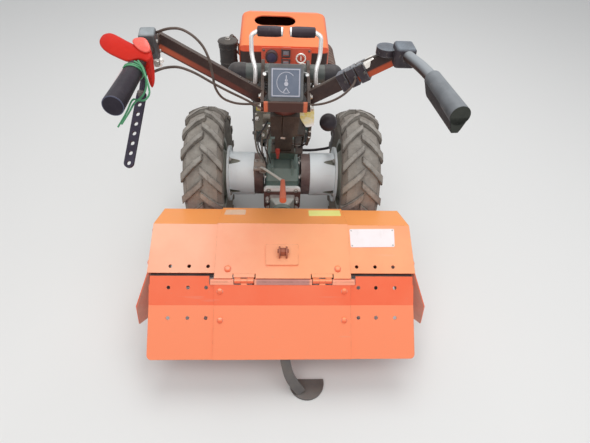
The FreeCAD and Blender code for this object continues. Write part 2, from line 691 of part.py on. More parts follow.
def fan_housing():
    """The blower cowl on the engine's front with the recoil starter's slotted cover."""
    front = ENGINE_Y + ENGINE_LENGTH
    cowl = cylinder(FAN_RADIUS, FAN_DEPTH, (0, front, CRANK_Z), ALONG_Y)
    duct = box(-DUCT_HALF_WIDTH, DUCT_HALF_WIDTH, front, front + FAN_DEPTH, CRANK_Z, CRANK_Z + DUCT_HEIGHT)
    starter = Part.makeCone(STARTER_RADIUS, STARTER_RADIUS - STARTER_TAPER, STARTER_DEPTH,
                            V(0, front + FAN_DEPTH, CRANK_Z), ALONG_Y)
    body = fuse([cowl, duct, starter])
    face = front + FAN_DEPTH + STARTER_DEPTH
    slots = []
    for number in range(GRILLE_SLOTS):
        slot = box(-GRILLE_SLOT_WIDTH / 2.0, GRILLE_SLOT_WIDTH / 2.0, face - GRILLE_SLOT_DEPTH, face + 1.0,
                   CRANK_Z + GRILLE_INNER_RADIUS, CRANK_Z + GRILLE_OUTER_RADIUS)
        slot.rotate(V(0, 0, CRANK_Z), ALONG_Y, 360.0 * number / GRILLE_SLOTS)
        slots.append(slot)
    return body.cut(Part.makeCompound(slots))


def hood_solid(inset):
    """The engine hood's outer form, or its inside when set in by the sheet."""
    half = HOOD_HALF_WIDTH - inset
    outline = [(HOOD_REAR_Y + inset, HOOD_SKIRT_Z - (1.0 if inset else 0.0)),
               (HOOD_REAR_Y + inset, HOOD_REAR_Z - inset), (HOOD_CREST_Y, HOOD_CREST_Z - inset),
               (HOOD_FRONT_Y - inset, HOOD_NOSE_Z - inset),
               (HOOD_FRONT_Y - inset, HOOD_SKIRT_Z - (1.0 if inset else 0.0))]
    body = slab_in_yz(outline, -half, half)
    top = HOOD_SKIRT_Z + 10.0
    return rounded(body, HOOD_ROUND - inset, lambda edge: edge.CenterOfMass.z > top
                   and abs(edge.CenterOfMass.x) > half - 0.1)


def engine_hood():
    shell = hood_solid(0.0).cut(hood_solid(HOOD_SHEET))
    ends = (FILLER_HOLE_WIDTH - FILLER_HOLE_LENGTH) / 2.0
    hole = [box(FILLER_HOLE_X - ends, FILLER_HOLE_X + ends, FILLER_HOLE_Y - FILLER_HOLE_LENGTH / 2.0,
                FILLER_HOLE_Y + FILLER_HOLE_LENGTH / 2.0, TANK_TOP_Z, HOOD_CREST_Z + 10.0)]
    for end in (-ends, ends):
        hole.append(cylinder(FILLER_HOLE_LENGTH / 2.0, HOOD_CREST_Z + 10.0 - TANK_TOP_Z,
                             (FILLER_HOLE_X + end, FILLER_HOLE_Y, TANK_TOP_Z), ALONG_Z))
    return shell.cut(fuse(hole))


def fuel_tank():
    half = HOOD_HALF_WIDTH - HOOD_SHEET - HOOD_TO_TANK
    tank = box(-half, half, HOOD_REAR_Y + TANK_REAR_GAP, HOOD_FRONT_Y - TANK_FRONT_GAP,
               TANK_BOTTOM_Z, TANK_TOP_Z)
    tank = rounded(tank, TANK_ROUND, lambda edge: runs_along(edge, ALONG_Z)
                   or edge.CenterOfMass.z > TANK_TOP_Z - 0.1)
    cap = cylinder(TANK_CAP_RADIUS, TANK_CAP_HEIGHT, (FILLER_HOLE_X, FILLER_HOLE_Y, TANK_TOP_Z), ALONG_Z)
    return fuse([tank, cap])


def control_panel():
    """The red plate on the hood's rear edge with its round cap, key switch and two rocker switches."""
    face = HOOD_REAR_Y - PANEL_THICKNESS
    plate = box(PANEL_X - PANEL_HALF_WIDTH, PANEL_X + PANEL_HALF_WIDTH, face, HOOD_REAR_Y,
                PANEL_BOTTOM_Z, HOOD_REAR_Z - 4.0)
    pieces = [rounded(plate, PANEL_ROUND, lambda edge: runs_along(edge, ALONG_Y))]
    for x, z, radius, rise in (PANEL_CAP, PANEL_KEY):
        pieces.append(cylinder(radius, rise, (PANEL_X + x, face - rise, z), ALONG_Y))
    for level in SWITCH_LEVELS:
        pieces.append(box(PANEL_X - SWITCH_HALF, PANEL_X + SWITCH_HALF, face - SWITCH_RISE, face,
                          level - SWITCH_HALF, level + SWITCH_HALF))
    return fuse(pieces)


def hood_brackets():
    """Side brackets that carry the hood and the tank from the crankcase."""
    pieces = []
    inner = ENGINE_HALF_WIDTH
    wall = HOOD_HALF_WIDTH - HOOD_SHEET
    level = (HOOD_SKIRT_Z + TANK_TOP_Z) / 2.0
    for along in BRACKET_PLACES:
        start = ENGINE_Y + along
        end = start + BRACKET_WIDTH
        post = box(inner, inner + BRACKET_SHEET, start, end, ENGINE_TOP_Z - BRACKET_DROP, TANK_BOTTOM_Z)
        pad = box(wall - HOOD_TO_TANK, wall, start, end, level - PAD_HALF_HEIGHT, level + PAD_HALF_HEIGHT)
        pieces += [post, pad, mirrored(post), mirrored(pad)]
    return Part.makeCompound(pieces)


def air_filter():
    """The round filter can on the left of the hood with its duct to the cylinder."""
    x = -HOOD_HALF_WIDTH - HOOD_TO_TANK - FILTER_RADIUS
    can = cylinder(FILTER_RADIUS, FILTER_HEIGHT, (x, FILTER_Y, FILTER_Z), ALONG_Z)
    cap = cylinder(FILTER_CAP_RADIUS, FILTER_CAP_HEIGHT, (x, FILTER_Y, FILTER_Z + FILTER_HEIGHT - 10.0),
                   ALONG_Z)
    duct = rod((x, FILTER_Y, FILTER_DUCT_Z), (-CYLINDER_HALF_WIDTH + 6.0, FILTER_INLET_Y, FILTER_INLET_Z),
               FILTER_DUCT_RADIUS)
    return fuse([can, cap, duct]).cut(engine_cylinder())


def muffler():
    """The exhaust can beside the cylinder with its inlet pipe and tail."""
    x = ENGINE_HALF_WIDTH + BRACKET_SHEET + MUFFLER_RADIUS + MUFFLER_GAP
    middle = ENGINE_Y + ENGINE_LENGTH / 2.0
    rear = middle - MUFFLER_LENGTH / 2.0
    wall = MUFFLER_WALL
    body = cylinder(MUFFLER_RADIUS, MUFFLER_LENGTH, (x, rear, MUFFLER_Z), ALONG_Y)
    chamber = cylinder(MUFFLER_RADIUS - wall, MUFFLER_LENGTH - 2.0 * wall, (x, rear + wall, MUFFLER_Z), ALONG_Y)
    pipe = rod((CYLINDER_HALF_WIDTH - 6.0, middle, MUFFLER_INLET_Z), (x, middle, MUFFLER_INLET_Z - 8.0),
               MUFFLER_INLET_RADIUS)
    tail = cylinder(TAIL_RADIUS, TAIL_LENGTH, (x, rear + MUFFLER_LENGTH, MUFFLER_Z), ALONG_Y)
    outlet = cylinder(TAIL_RADIUS - wall, MUFFLER_LENGTH, (x, middle, MUFFLER_Z), ALONG_Y)
    return fuse([body, pipe, tail]).cut(engine_cylinder()).cut(chamber).cut(outlet)


def front_bumper():
    """A bent tube round the engine's front, from the crankcase feet, with a ballast plate."""
    half = BUMPER_HALF_WIDTH
    track = BUMPER_HALF_TRACK
    front = BUMPER_FRONT_Y
    rear = ENGINE_Y + BUMPER_FOOT_START
    level = ENGINE_BOTTOM_Z - SUMP_FOOT_HEIGHT - BUMPER_TUBE_RADIUS
    route = [(-track, rear, level), (-track, front - BUMPER_RISE, level), (-half, front, BUMPER_BEND_Z),
             (-half, front, BUMPER_TOP_Z), (half, front, BUMPER_TOP_Z), (half, front, BUMPER_BEND_Z),
             (track, front - BUMPER_RISE, level), (track, rear, level)]
    tube = round_bar(route, BUMPER_TUBE_RADIUS, 0.3)
    bore = round_bar(route, BUMPER_TUBE_RADIUS - BUMPER_WALL, 0.3)
    plate = box(-half, half, front - BUMPER_PLATE / 2.0, front + BUMPER_PLATE / 2.0, *BUMPER_PLATE_Z)
    feet = []
    for middle in (-track, track):
        feet.append(box(middle - BUMPER_TUBE_RADIUS, middle + BUMPER_TUBE_RADIUS, rear + 10.0,
                        ENGINE_Y + ENGINE_LENGTH - BUMPER_FOOT_START, level, level + BUMPER_TUBE_RADIUS))
    guard = fuse([tube, plate] + feet).cut(bore)
    holes = []
    for x in (-BALLAST_SPACING_X / 2.0, BALLAST_SPACING_X / 2.0):
        for z in (BALLAST_Z - BALLAST_SPACING_Z / 2.0, BALLAST_Z + BALLAST_SPACING_Z / 2.0):
            holes.append(cylinder(BALLAST_HOLE_RADIUS, 2.0 * BUMPER_PLATE, (x, front - BUMPER_PLATE, z),
                                  ALONG_Y))
    return guard.cut(Part.makeCompound(holes))


# Rear power take-off and tiller

def pto_coupling():
    """The casting that joins gearbox and tiller: a flange, a tapering housing and two bolt lugs."""
    rear = GEARBOX_REAR_Y - PTO_FLANGE
    wide = PTO_FLANGE_HALF_WIDTH
    flange = box(-wide, wide, rear, GEARBOX_REAR_Y, PTO_Z - 34.0, PTO_Z + 70.0)
    flange = rounded(flange, PTO_FLANGE_ROUND, lambda edge: runs_along(edge, ALONG_Y))
    end = rear - PTO_LENGTH
    outline = [(-PTO_HALF_WIDTH, rear), (-PTO_HALF_WIDTH, rear - PTO_STRAIGHT), (-PTO_REAR_HALF_WIDTH, end),
               (PTO_REAR_HALF_WIDTH, end), (PTO_HALF_WIDTH, rear - PTO_STRAIGHT), (PTO_HALF_WIDTH, rear)]
    body = polygon([(x, y, PTO_BOTTOM_Z) for x, y in outline]).extrude(V(0, 0, PTO_TOP_Z - PTO_BOTTOM_Z))
    body = rounded(body, 8.0, lambda edge: edge.CenterOfMass.z > PTO_TOP_Z - 0.1 and edge.CenterOfMass.y < rear - 1.0)
    pieces = [flange, body]
    for side in (-1, 1):
        for level in (PTO_TOP_Z - 2.0 * PTO_LUG_HALF, PTO_BOTTOM_Z + 2.0 * PTO_LUG_HALF):
            pieces.append(cylinder(PTO_LUG_HALF, PTO_LUG_LENGTH, (side * (PTO_HALF_WIDTH + 6.0),
                                                                  rear - PTO_LUG_LENGTH, level), ALONG_Y))
    return fuse(pieces)


def tiller_gear_case():
    """The neck from the power take-off, the slim case down to the rotor and the hood's carrier."""
    half = GEAR_CASE_HALF_WIDTH
    start = GEARBOX_REAR_Y - PTO_FLANGE - PTO_LENGTH
    neck = cylinder(NECK_RADIUS, start - GEAR_CASE_HEAD_Y, (0, GEAR_CASE_HEAD_Y, PTO_Z), ALONG_Y)
    collar = cylinder(PTO_COLLAR_RADIUS, PTO_LUG_LENGTH, (0, start - PTO_LUG_LENGTH, PTO_Z), ALONG_Y)
    boss = cylinder(GEAR_CASE_RADIUS, 2.0 * half, (-half, ROTOR_Y, ROTOR_Z), ALONG_X)
    head_radius = GEAR_CASE_HEAD_RADIUS
    head = cylinder(head_radius, 2.0 * half, (-half, GEAR_CASE_HEAD_Y, PTO_Z), ALONG_X)
    dy = GEAR_CASE_HEAD_Y - ROTOR_Y
    dz = PTO_Z - ROTOR_Z
    reach = math.hypot(dy, dz)
    lean = math.acos((GEAR_CASE_RADIUS - head_radius) / reach)
    heading = math.atan2(dz, dy)
    corners = []
    for sign, order in ((1, 0), (-1, 1)):
        angle = heading + sign * lean
        low = (ROTOR_Y + GEAR_CASE_RADIUS * math.cos(angle), ROTOR_Z + GEAR_CASE_RADIUS * math.sin(angle))
        high = (GEAR_CASE_HEAD_Y + head_radius * math.cos(angle), PTO_Z + head_radius * math.sin(angle))
        corners += [low, high] if order == 0 else [high, low]
    web = slab_in_yz(corners, -half, half)
    inner_line = HOOD_LINE
    under_front = point_on(inner_line[1], inner_line[2], 0.35)
    under_rear = point_on(inner_line[2], inner_line[3], 0.30)
    carrier = slab_in_yz([under_front, inner_line[2], under_rear, (ROTOR_Y - 20.0, ROTOR_Z + 20.0),
                          (GEAR_CASE_HEAD_Y, PTO_Z)], -CARRIER_HALF_WIDTH, CARRIER_HALF_WIDTH)
    socket = box(-SOCKET_HALF_WIDTH, SOCKET_HALF_WIDTH, SKID_ROUTE[0][1], ROTOR_Y - GEAR_CASE_RADIUS / 2.0,
                 SKID_ROUTE[0][2] - SOCKET_HALF_HEIGHT, SKID_ROUTE[0][2] + SOCKET_HALF_HEIGHT)
    case = fuse([neck, collar, boss, head, web, carrier, socket])
    bore = cylinder(ROTOR_SHAFT_RADIUS + RUNNING_CLEARANCE, 4.0 * half, (-2.0 * half, ROTOR_Y, ROTOR_Z),
                    ALONG_X)
    return case.cut(bore)


def point_on(start, end, share):
    return tuple(a + (b - a) * share for a, b in zip(start, end))


def beyond(start, end, distance):
    """The point this far past the end of a line in (y, z)."""
    length = math.hypot(end[0] - start[0], end[1] - start[1])
    return (end[0] + (end[0] - start[0]) * distance / length, end[1] + (end[1] - start[1]) * distance / length)


def tiller_hood():
    """The centre sheet of the tiller's hood, with a lip over the flap that is notched for the hinges."""
    line = offset_line(HOOD_LINE, TILLER_SHEET)
    line[-1] = beyond(line[-2], line[-1], LIP_LENGTH)
    sheet = bent_sheet(line, TILLER_SHEET, -CENTRE_HALF_WIDTH, CENTRE_HALF_WIDTH)
    tip = line[-1]
    for middle in KNUCKLE_X:
        sheet = sheet.cut(box(middle - LIP_NOTCH_HALF, middle + LIP_NOTCH_HALF, tip[0] - 10.0,
                              tip[0] + LIP_NOTCH_DEPTH, tip[1] - 20.0, tip[1] + 20.0))
    return sheet


def hole_drills(corner, heading, rows):
    """Drills square to a sheet: rows of holes at distances along its slope from a crease, on both sides."""
    length = math.hypot(*heading)
    step = (heading[0] / length, heading[1] / length)
    normal = V(0, step[1], -step[0])
    drills = []
    for row in rows:
        y = corner[0] + step[0] * row[0]
        z = corner[1] + step[1] * row[0]
        for x in row[1:]:
            for side in (-1, 1):
                middle = V(side * x, y, z)
                drills.append(Part.makeCylinder(PLATE_HOLE_RADIUS, 40.0, middle - normal * 20.0, normal))
    return Part.makeCompound(drills)


def hood_extensions():
    """The two side sheets, under the centre sheet's edges, each with a row of holes near its rear edge."""
    sheet = bent_sheet(HOOD_LINE, TILLER_SHEET, CENTRE_HALF_WIDTH - PANEL_OVERLAP, TILLER_HALF_WIDTH)
    crease, edge = HOOD_LINE[2], HOOD_LINE[3]
    both = Part.makeCompound([sheet, mirrored(sheet)])
    return both.cut(hole_drills(crease, (edge[0] - crease[0], edge[1] - crease[1]), (HOOD_HOLES,)))


def side_shields():
    """End plates under the hood's ends, down beside the rotor, flaring outwards behind the hood's edge."""
    line = offset_line(HOOD_LINE, -TILLER_SHEET)
    rear = line[-1][0]
    front = line[0][0]
    outline = line[:-1] + [beyond(line[-2], line[-1], SHIELD_BEND_LAP), (rear + SHIELD_BEND_STEP, SHIELD_BOTTOM_Z),
                           (front - SHIELD_FRONT_STEP, SHIELD_BOTTOM_Z), (front, SHIELD_FRONT_Z)]
    plate = slab_in_yz(outline, TILLER_HALF_WIDTH - SHIELD_SHEET, TILLER_HALF_WIDTH)
    corners = [V(TILLER_HALF_WIDTH + out, HOOD_LINE[-1][0] - back, z) for out, back, z in SHIELD_FLARE]
    normal = corners[1].sub(corners[0]).cross(corners[3].sub(corners[0]))
    normal.normalize()
    if normal.x > 0:
        normal = normal * -1.0
    flat = [corner - normal * normal.dot(corner.sub(corners[0])) for corner in corners]
    flare = Part.Face(Part.makePolygon(flat + [flat[0]])).extrude(normal * SHIELD_SHEET)
    shield = fuse([plate, flare])
    return Part.makeCompound([shield, mirrored(shield)])


def hinge_parts():
    """Knuckles of the flap's two hinges: outer ones for the hood with the pin, middle ones for the flap."""
    fixed = []
    moving = []
    third = KNUCKLE_LENGTH / 3.0
    for centre in KNUCKLE_X:
        start = centre - KNUCKLE_LENGTH / 2.0
        pin = cylinder(HINGE_PIN_RADIUS, KNUCKLE_LENGTH, (start, HINGE_Y, HINGE_Z), ALONG_X)
        for number in (0, 2):
            barrel = cylinder(KNUCKLE_RADIUS, third, (start + number * third, HINGE_Y, HINGE_Z), ALONG_X)
            fixed.append(barrel)
        fixed.append(pin)
        barrel = cylinder(KNUCKLE_RADIUS, third - 2.0 * FACE_GAP, (start + third + FACE_GAP, HINGE_Y, HINGE_Z),
                          ALONG_X)
        moving.append(barrel)
    return fixed, moving


def flap_hinges():
    """The hood's half of the flap's hinges, with leaves under the hood's rear edge."""
    fixed, moving = hinge_parts()
    edge = HOOD_LINE[3]
    back = point_on(HOOD_LINE[3], HOOD_LINE[2], 0.25)
    third = KNUCKLE_LENGTH / 3.0
    for centre in KNUCKLE_X:
        for number in (-1, 1):
            middle = centre + number * third
            outline = [back, edge, (HINGE_Y + 2.0, HINGE_Z + 5.5), (HINGE_Y + 2.0, HINGE_Z - 1.5),
                       (edge[0] + 2.0, edge[1] - 5.0), (back[0], back[1] - 5.0)]
            fixed.append(slab_in_yz(outline, middle - third / 2.0, middle + third / 2.0))
    return fuse(fixed)


def flap_top_sheet():
    """The upper strip of the flap's right side sheet, which closes the gap under the hood's edge."""
    line = [FLAP_TOP, FLAP_LINE[0], FLAP_LINE[1]]
    return bent_sheet(line, TILLER_SHEET, CENTRE_HALF_WIDTH + FLAP_TOP_INSET, FLAP_HALF_WIDTH - FLAP_END_INSET)


def rear_flap():
    """The hinged flap: a bent centre sheet lying on its side sheets, and the middle knuckles."""
    fixed, moving = hinge_parts()
    outer = offset_line(FLAP_LINE, TILLER_SHEET)
    centre = bent_sheet(outer, TILLER_SHEET, -CENTRE_HALF_WIDTH, CENTRE_HALF_WIDTH)
    side = bent_sheet(FLAP_LINE, TILLER_SHEET, CENTRE_HALF_WIDTH - PANEL_OVERLAP, FLAP_HALF_WIDTH)
    side = fuse([side, flap_top_sheet()])
    tip = FLAP_LINE[2]
    side = rounded(side, FLAP_CORNER_ROUND, lambda edge: edge.CenterOfMass.x > FLAP_HALF_WIDTH - 0.1
                   and edge.Length < 1.2 * TILLER_SHEET and edge.CenterOfMass.z < tip[1] + 6.0)
    crease = FLAP_LINE[1]
    down = (tip[0] - crease[0], tip[1] - crease[1])
    up = (crease[0] - FLAP_LINE[0][0], crease[1] - FLAP_LINE[0][1])
    sides = Part.makeCompound([side, mirrored(side)])
    sides = sides.cut(hole_drills(crease, up, FLAP_HOLES[:1])).cut(hole_drills(crease, down, FLAP_HOLES[1:]))
    pieces = [centre] + sides.Solids + moving
    third = KNUCKLE_LENGTH / 3.0
    for middle in KNUCKLE_X:
        outline = [(HINGE_Y, HINGE_Z + 3.0), outer[0], FLAP_LINE[0], (HINGE_Y, HINGE_Z - 4.0)]
        pieces.append(slab_in_yz(outline, middle - third / 2.0 + FACE_GAP, middle + third / 2.0 - FACE_GAP))
    flap = fuse(pieces)
    for centre_x in KNUCKLE_X:
        start = centre_x - KNUCKLE_LENGTH / 2.0
        flap = flap.cut(cylinder(HINGE_PIN_RADIUS + RUNNING_CLEARANCE, KNUCKLE_LENGTH,
                                 (start, HINGE_Y, HINGE_Z), ALONG_X))
    return flap


def rotor_shaft():
    """The rotor's shaft with its tine flanges."""
    pieces = [cylinder(ROTOR_SHAFT_RADIUS, 2.0 * ROTOR_HALF_LENGTH, (-ROTOR_HALF_LENGTH, ROTOR_Y, ROTOR_Z),
                       ALONG_X)]
    for x in TINE_FLANGE_X:
        for side in (-1, 1):
            start = side * x - TINE_FLANGE_THICKNESS / 2.0
            pieces.append(cylinder(TINE_FLANGE_RADIUS, TINE_FLANGE_THICKNESS, (start, ROTOR_Y, ROTOR_Z),
                                   ALONG_X))
    return fuse(pieces)


def tine(x, hand, turn):
    """One L-shaped blade on a flange's outer face: a curved arm and a blade turned along the shaft."""
    base = TINE_FLANGE_RADIUS - 30.0
    tip = TINE_TIP_RADIUS
    face = x + hand * TINE_FLANGE_THICKNESS / 2.0
    half = TINE_WIDTH / 2.0
    arm = slab_in_yz([(-half, base), (half, base), (half - 6.0, tip - 26.0), (half - 18.0, tip - 4.0),
                      (-half - 12.0, tip - 12.0), (-half - 4.0, tip - 34.0)], face, face + hand * TINE_THICKNESS)
    blade = slab_in_yz([(half - 17.0, tip - 4.5), (-half - 12.0, tip - 12.0),
                        (-half - 10.5, tip - 12.0 - TINE_THICKNESS), (half - 14.0, tip - 5.0 - TINE_THICKNESS)],
                       face, face + hand * TINE_BLADE_REACH)
    piece = fuse([arm, blade])
    piece.translate(V(0, ROTOR_Y, ROTOR_Z))
    piece.rotate(V(0, ROTOR_Y, ROTOR_Z), ALONG_X, turn)
    return piece


def rotor_tines():
    blades = []
    for row, x in enumerate(TINE_FLANGE_X):
        for side in (-1, 1):
            for number in range(TINES_PER_FLANGE):
                hand = 1 if number % 2 else -1
                turn = 360.0 * number / TINES_PER_FLANGE + row * 30.0 + (15.0 if side > 0 else 0.0)
                blades.append(tine(side * x, hand, turn))
    return Part.makeCompound(blades)


def skid_bracket():
    """The square plate on the hood with the lug that holds the depth skid."""
    slope = offset_line(HOOD_LINE, TILLER_SHEET)
    top = point_on(slope[2], slope[3], PLATE_SHARES[0])
    low = point_on(slope[2], slope[3], PLATE_SHARES[1])
    plate = bent_sheet(offset_line([top, low], PLATE_THICKNESS), PLATE_THICKNESS, *PLATE_X)
    foot = offset_line([point_on(top, low, 0.3), point_on(top, low, 0.7)], PLATE_THICKNESS / 2.0)
    tip = offset_line([point_on(top, low, 0.36), point_on(top, low, 0.64)], LUG_REACH)
    lug_plates = []
    for x in LUG_X:
        lug_plates.append(slab_in_yz(foot + tip[::-1], x - 2.5, x + 2.5))
    return fuse([plate] + lug_plates)


def depth_skid():
    """A flat bar from the gear case under the flap down to a half-round foot on the ground."""
    bar = flat_bar(SKID_ROUTE, SKID_BAR_WIDTH, SKID_BAR_THICKNESS, ALONG_X)
    straight = SKID_FOOT_Y - SKID_FOOT_DEPTH / 2.0 + SKID_FOOT_RADIUS
    foot = cylinder(SKID_FOOT_RADIUS, SKID_FOOT_THICKNESS, (SKID_FOOT_X, straight, 0), ALONG_Z)
    front_edge = straight + SKID_FOOT_DEPTH / 3.0
    foot = foot.cut(box(SKID_FOOT_X - 2.0 * SKID_FOOT_RADIUS, SKID_FOOT_X + 2.0 * SKID_FOOT_RADIUS, front_edge,
                        front_edge + 2.0 * SKID_FOOT_RADIUS, -1.0, SKID_FOOT_THICKNESS + 1.0))
    return fuse([bar, foot])


# Steering column and handlebars

def column_y(level):
    """The y of the leaning column's middle at a height."""
    share = (level - GEARBOX_DECK_Z) / (SWIVEL_Z - GEARBOX_DECK_Z)
    return COLUMN_FOOT_Y + (SWIVEL_Y - COLUMN_FOOT_Y) * share


def column_slab(low, high, half, rise=0.0):
    """A length of the leaning column between two heights, its rear face moved back by a rise."""
    outline = []
    for level, side in ((low, -1), (low, 1), (high, 1), (high, -1)):
        share = (level - GEARBOX_DECK_Z) / (SWIVEL_Z - GEARBOX_DECK_Z)
        depth = COLUMN_DEPTH / 2.0 + 10.0 * (1.0 - share)
        outline.append((column_y(level) + side * depth - (rise if side < 0 else 0.0), level))
    return slab_in_yz(outline, -half, half)


def steering_column():
    """A box column on the gearbox's pedestal, leaning back to the swivel: a slim neck, then two covers."""
    neck = column_slab(PEDESTAL_TOP_Z, COLUMN_NECK_TOP_Z + 1.0, COLUMN_NECK_HALF_WIDTH)
    foot = column_slab(PEDESTAL_TOP_Z, PEDESTAL_TOP_Z + COLUMN_PLATE, COLUMN_HALF_WIDTH, COLUMN_PLATE)
    trunk = column_slab(COLUMN_NECK_TOP_Z, SWIVEL_Z, COLUMN_HALF_WIDTH - 6.0)
    cover = column_slab(COLUMN_NECK_TOP_Z + 12.0, SWIVEL_Z, COLUMN_HALF_WIDTH, COLUMN_COVER_RISE)
    seam = box(COLUMN_SEAM_X - COLUMN_SEAM / 2.0, COLUMN_SEAM_X + COLUMN_SEAM / 2.0, SWIVEL_Y - COLUMN_DEPTH,
               COLUMN_FOOT_Y, COLUMN_NECK_TOP_Z, SWIVEL_Z + 1.0)
    seam = seam.cut(column_slab(COLUMN_NECK_TOP_Z - 1.0, SWIVEL_Z + 1.0, COLUMN_HALF_WIDTH))
    pin = cylinder(SWIVEL_PIN_RADIUS, SWIVEL_PIN_HEIGHT, (0, SWIVEL_Y, SWIVEL_Z), ALONG_Z)
    return fuse([neck, foot, trunk, cover.cut(seam), pin])


def cross_tube():
    return cylinder(CROSS_TUBE_RADIUS, 2.0 * CROSS_TUBE_HALF_LENGTH, (-CROSS_TUBE_HALF_LENGTH, PIVOT_Y, PIVOT_Z),
                    ALONG_X)


def swivel_head():
    """The head that turns on the column's pin and carries the cross tube."""
    base = SWIVEL_Z + FACE_GAP
    half = SADDLE_HALF_WIDTH
    barrel = cylinder(HEAD_RADIUS, HEAD_HEIGHT, (0, SWIVEL_Y, base), ALONG_Z)
    saddle = slab_in_yz([(SWIVEL_Y, base), (SWIVEL_Y, base + HEAD_HEIGHT), (PIVOT_Y, PIVOT_Z + 10.0),
                         (PIVOT_Y, PIVOT_Z - 20.0), (SWIVEL_Y + 30.0, base)], -half, half)
    head = fuse([barrel, saddle, cross_tube()])
    bore = cylinder(SWIVEL_PIN_RADIUS + RUNNING_CLEARANCE, SWIVEL_PIN_HEIGHT + FACE_GAP + 1.0,
                    (0, SWIVEL_Y, base - 1.0), ALONG_Z)
    return head.cut(bore)


def console():
    """The instrument box on the head, facing the operator."""
    half = CONSOLE_HALF_WIDTH
    case = box(-half, half, 0.0, CONSOLE_DEPTH, -CONSOLE_HEIGHT / 2.0, CONSOLE_HEIGHT / 2.0)
    case = rounded(case, CONSOLE_ROUND, lambda edge: runs_along(edge, ALONG_Y))
    case.rotate(V(0, 0, 0), ALONG_X, -CONSOLE_TILT)
    case.translate(V(0, CONSOLE_Y, CONSOLE_Z))
    post = box(-CONSOLE_POST_HALF, CONSOLE_POST_HALF, SWIVEL_Y - CONSOLE_POST_DEPTH, SWIVEL_Y - FACE_GAP,
               SWIVEL_Z + FACE_GAP + HEAD_HEIGHT, CONSOLE_Z)
    return fuse([case, post])


def hand_levers():
    """The two bent rods beside the console with their grips turned inwards."""
    rod_shape = round_bar(LEVER_ROUTE, LEVER_ROD_RADIUS, 0.4)
    grip_start = V(*LEVER_ROUTE[-1])
    grip_end = grip_start - V(LEVER_GRIP_LENGTH, 0, 0)
    sleeve = rod(tuple(grip_start), tuple(grip_end), LEVER_GRIP_RADIUS)
    lever = fuse([rod_shape, sleeve]).cut(cross_tube())
    return Part.makeCompound([lever, mirrored(lever)])


def handle(name):
    """The round tube from the arm's end to the grip's end."""
    return round_bar(HANDLE_PLACES[name], GRIP_TUBE_RADIUS, 0.4)


def straight_bar(start, end, thickness, height):
    """A rectangular tube between two points, its height as upright as its run allows."""
    origin = V(*start)
    heading = V(*end).sub(origin)
    length = heading.Length
    heading.normalize()
    across = heading.cross(ALONG_Z)
    across.normalize()
    upright = across.cross(heading)
    corners = []
    for side, level in ((-1, -1), (1, -1), (1, 1), (-1, 1)):
        corners.append(origin + across * (side * thickness / 2.0) + upright * (level * height / 2.0))
    face = Part.Face(Part.makePolygon(corners + [corners[0]]))
    return face.extrude(heading * length)


def arm_bar(name, thickness=ARM_THICKNESS, height=ARM_HEIGHT, part=(0.0, 1.0)):
    """The rectangular arm of a side, or a length of it given by two shares."""
    start = (YOKE_X + YOKE_THICKNESS / 2.0, YOKE_END_Y, YOKE_END_Z)
    end = HANDLE_PLACES[name][0]
    return straight_bar(point_on(start, end, part[0]), point_on(start, end, part[1]), thickness, height)


def handle_arm(name):
    """The plate that turns on the cross tube and the rectangular arm with the handle's tube."""
    inner = YOKE_X
    outer = inner + YOKE_THICKNESS
    eye = cylinder(YOKE_EYE_RADIUS, YOKE_THICKNESS, (inner, PIVOT_Y, PIVOT_Z), ALONG_X)
    half = BRACE_HEIGHT / 2.0
    web = slab_in_yz([(PIVOT_Y, PIVOT_Z + YOKE_EYE_RADIUS - 2.0), (YOKE_END_Y - 14.0, YOKE_END_Z + 20.0),
                      (BRACE_Y, BRACE_Z + half), (BRACE_Y, BRACE_Z - half), (YOKE_END_Y + 14.0, BRACE_Z - half),
                      (PIVOT_Y, PIVOT_Z - YOKE_EYE_RADIUS + 2.0)], inner, outer)
    shape = fuse([eye, web, arm_bar(name), handle(name)])
    bore = cylinder(CROSS_TUBE_RADIUS + RUNNING_CLEARANCE, YOKE_THICKNESS + 2.0, (inner - 1.0, PIVOT_Y, PIVOT_Z),
                    ALONG_X)
    return shape.cut(bore)


def handlebar_brace():
    """The flat bar under the console that joins both yoke plates."""
    return box(-YOKE_X, YOKE_X, BRACE_Y - BRACE_THICKNESS / 2.0, BRACE_Y + BRACE_THICKNESS / 2.0,
               BRACE_Z - BRACE_HEIGHT / 2.0, BRACE_Z + BRACE_HEIGHT / 2.0)


def grip(name):
    """The rubber sleeve on the handle's end, thicker towards the rear."""
    start, end = (V(*point) for point in HANDLE_PLACES[name][1:])
    direction = end.sub(start)
    direction.normalize()
    base = end - direction * (GRIP_LENGTH - GRIP_END_CAP)
    return Part.makeCone(GRIP_RADIUS, GRIP_END_RADIUS, GRIP_LENGTH, base, direction).cut(handle(name))


def control_box():
    """The switch box on the left handle's corner, cut to fit over the arm and the tube."""
    wide, long, tall = CONTROL_BOX_SIZE
    case = box(-wide / 2.0, wide / 2.0, -long / 2.0, long / 2.0, -tall / 2.0, tall / 2.0)
    case = rounded(case, 5.0, lambda edge: runs_along(edge, ALONG_Z) or edge.CenterOfMass.z > tall / 2.0 - 0.1)
    case.rotate(V(0, 0, 0), ALONG_Z, CONTROL_BOX_TURN)
    case.translate(V(*CONTROL_BOX_MIDDLE))
    return case.cut(mirrored(fuse([arm_bar("left"), handle("left")])))


def sheet_frame(start, end):
    """The unit directions across and square to a sheet that runs between two points."""
    heading = V(*end).sub(V(*start))
    heading.normalize()
    across = heading.cross(ALONG_Z)
    across.normalize()
    return across, across.cross(heading)


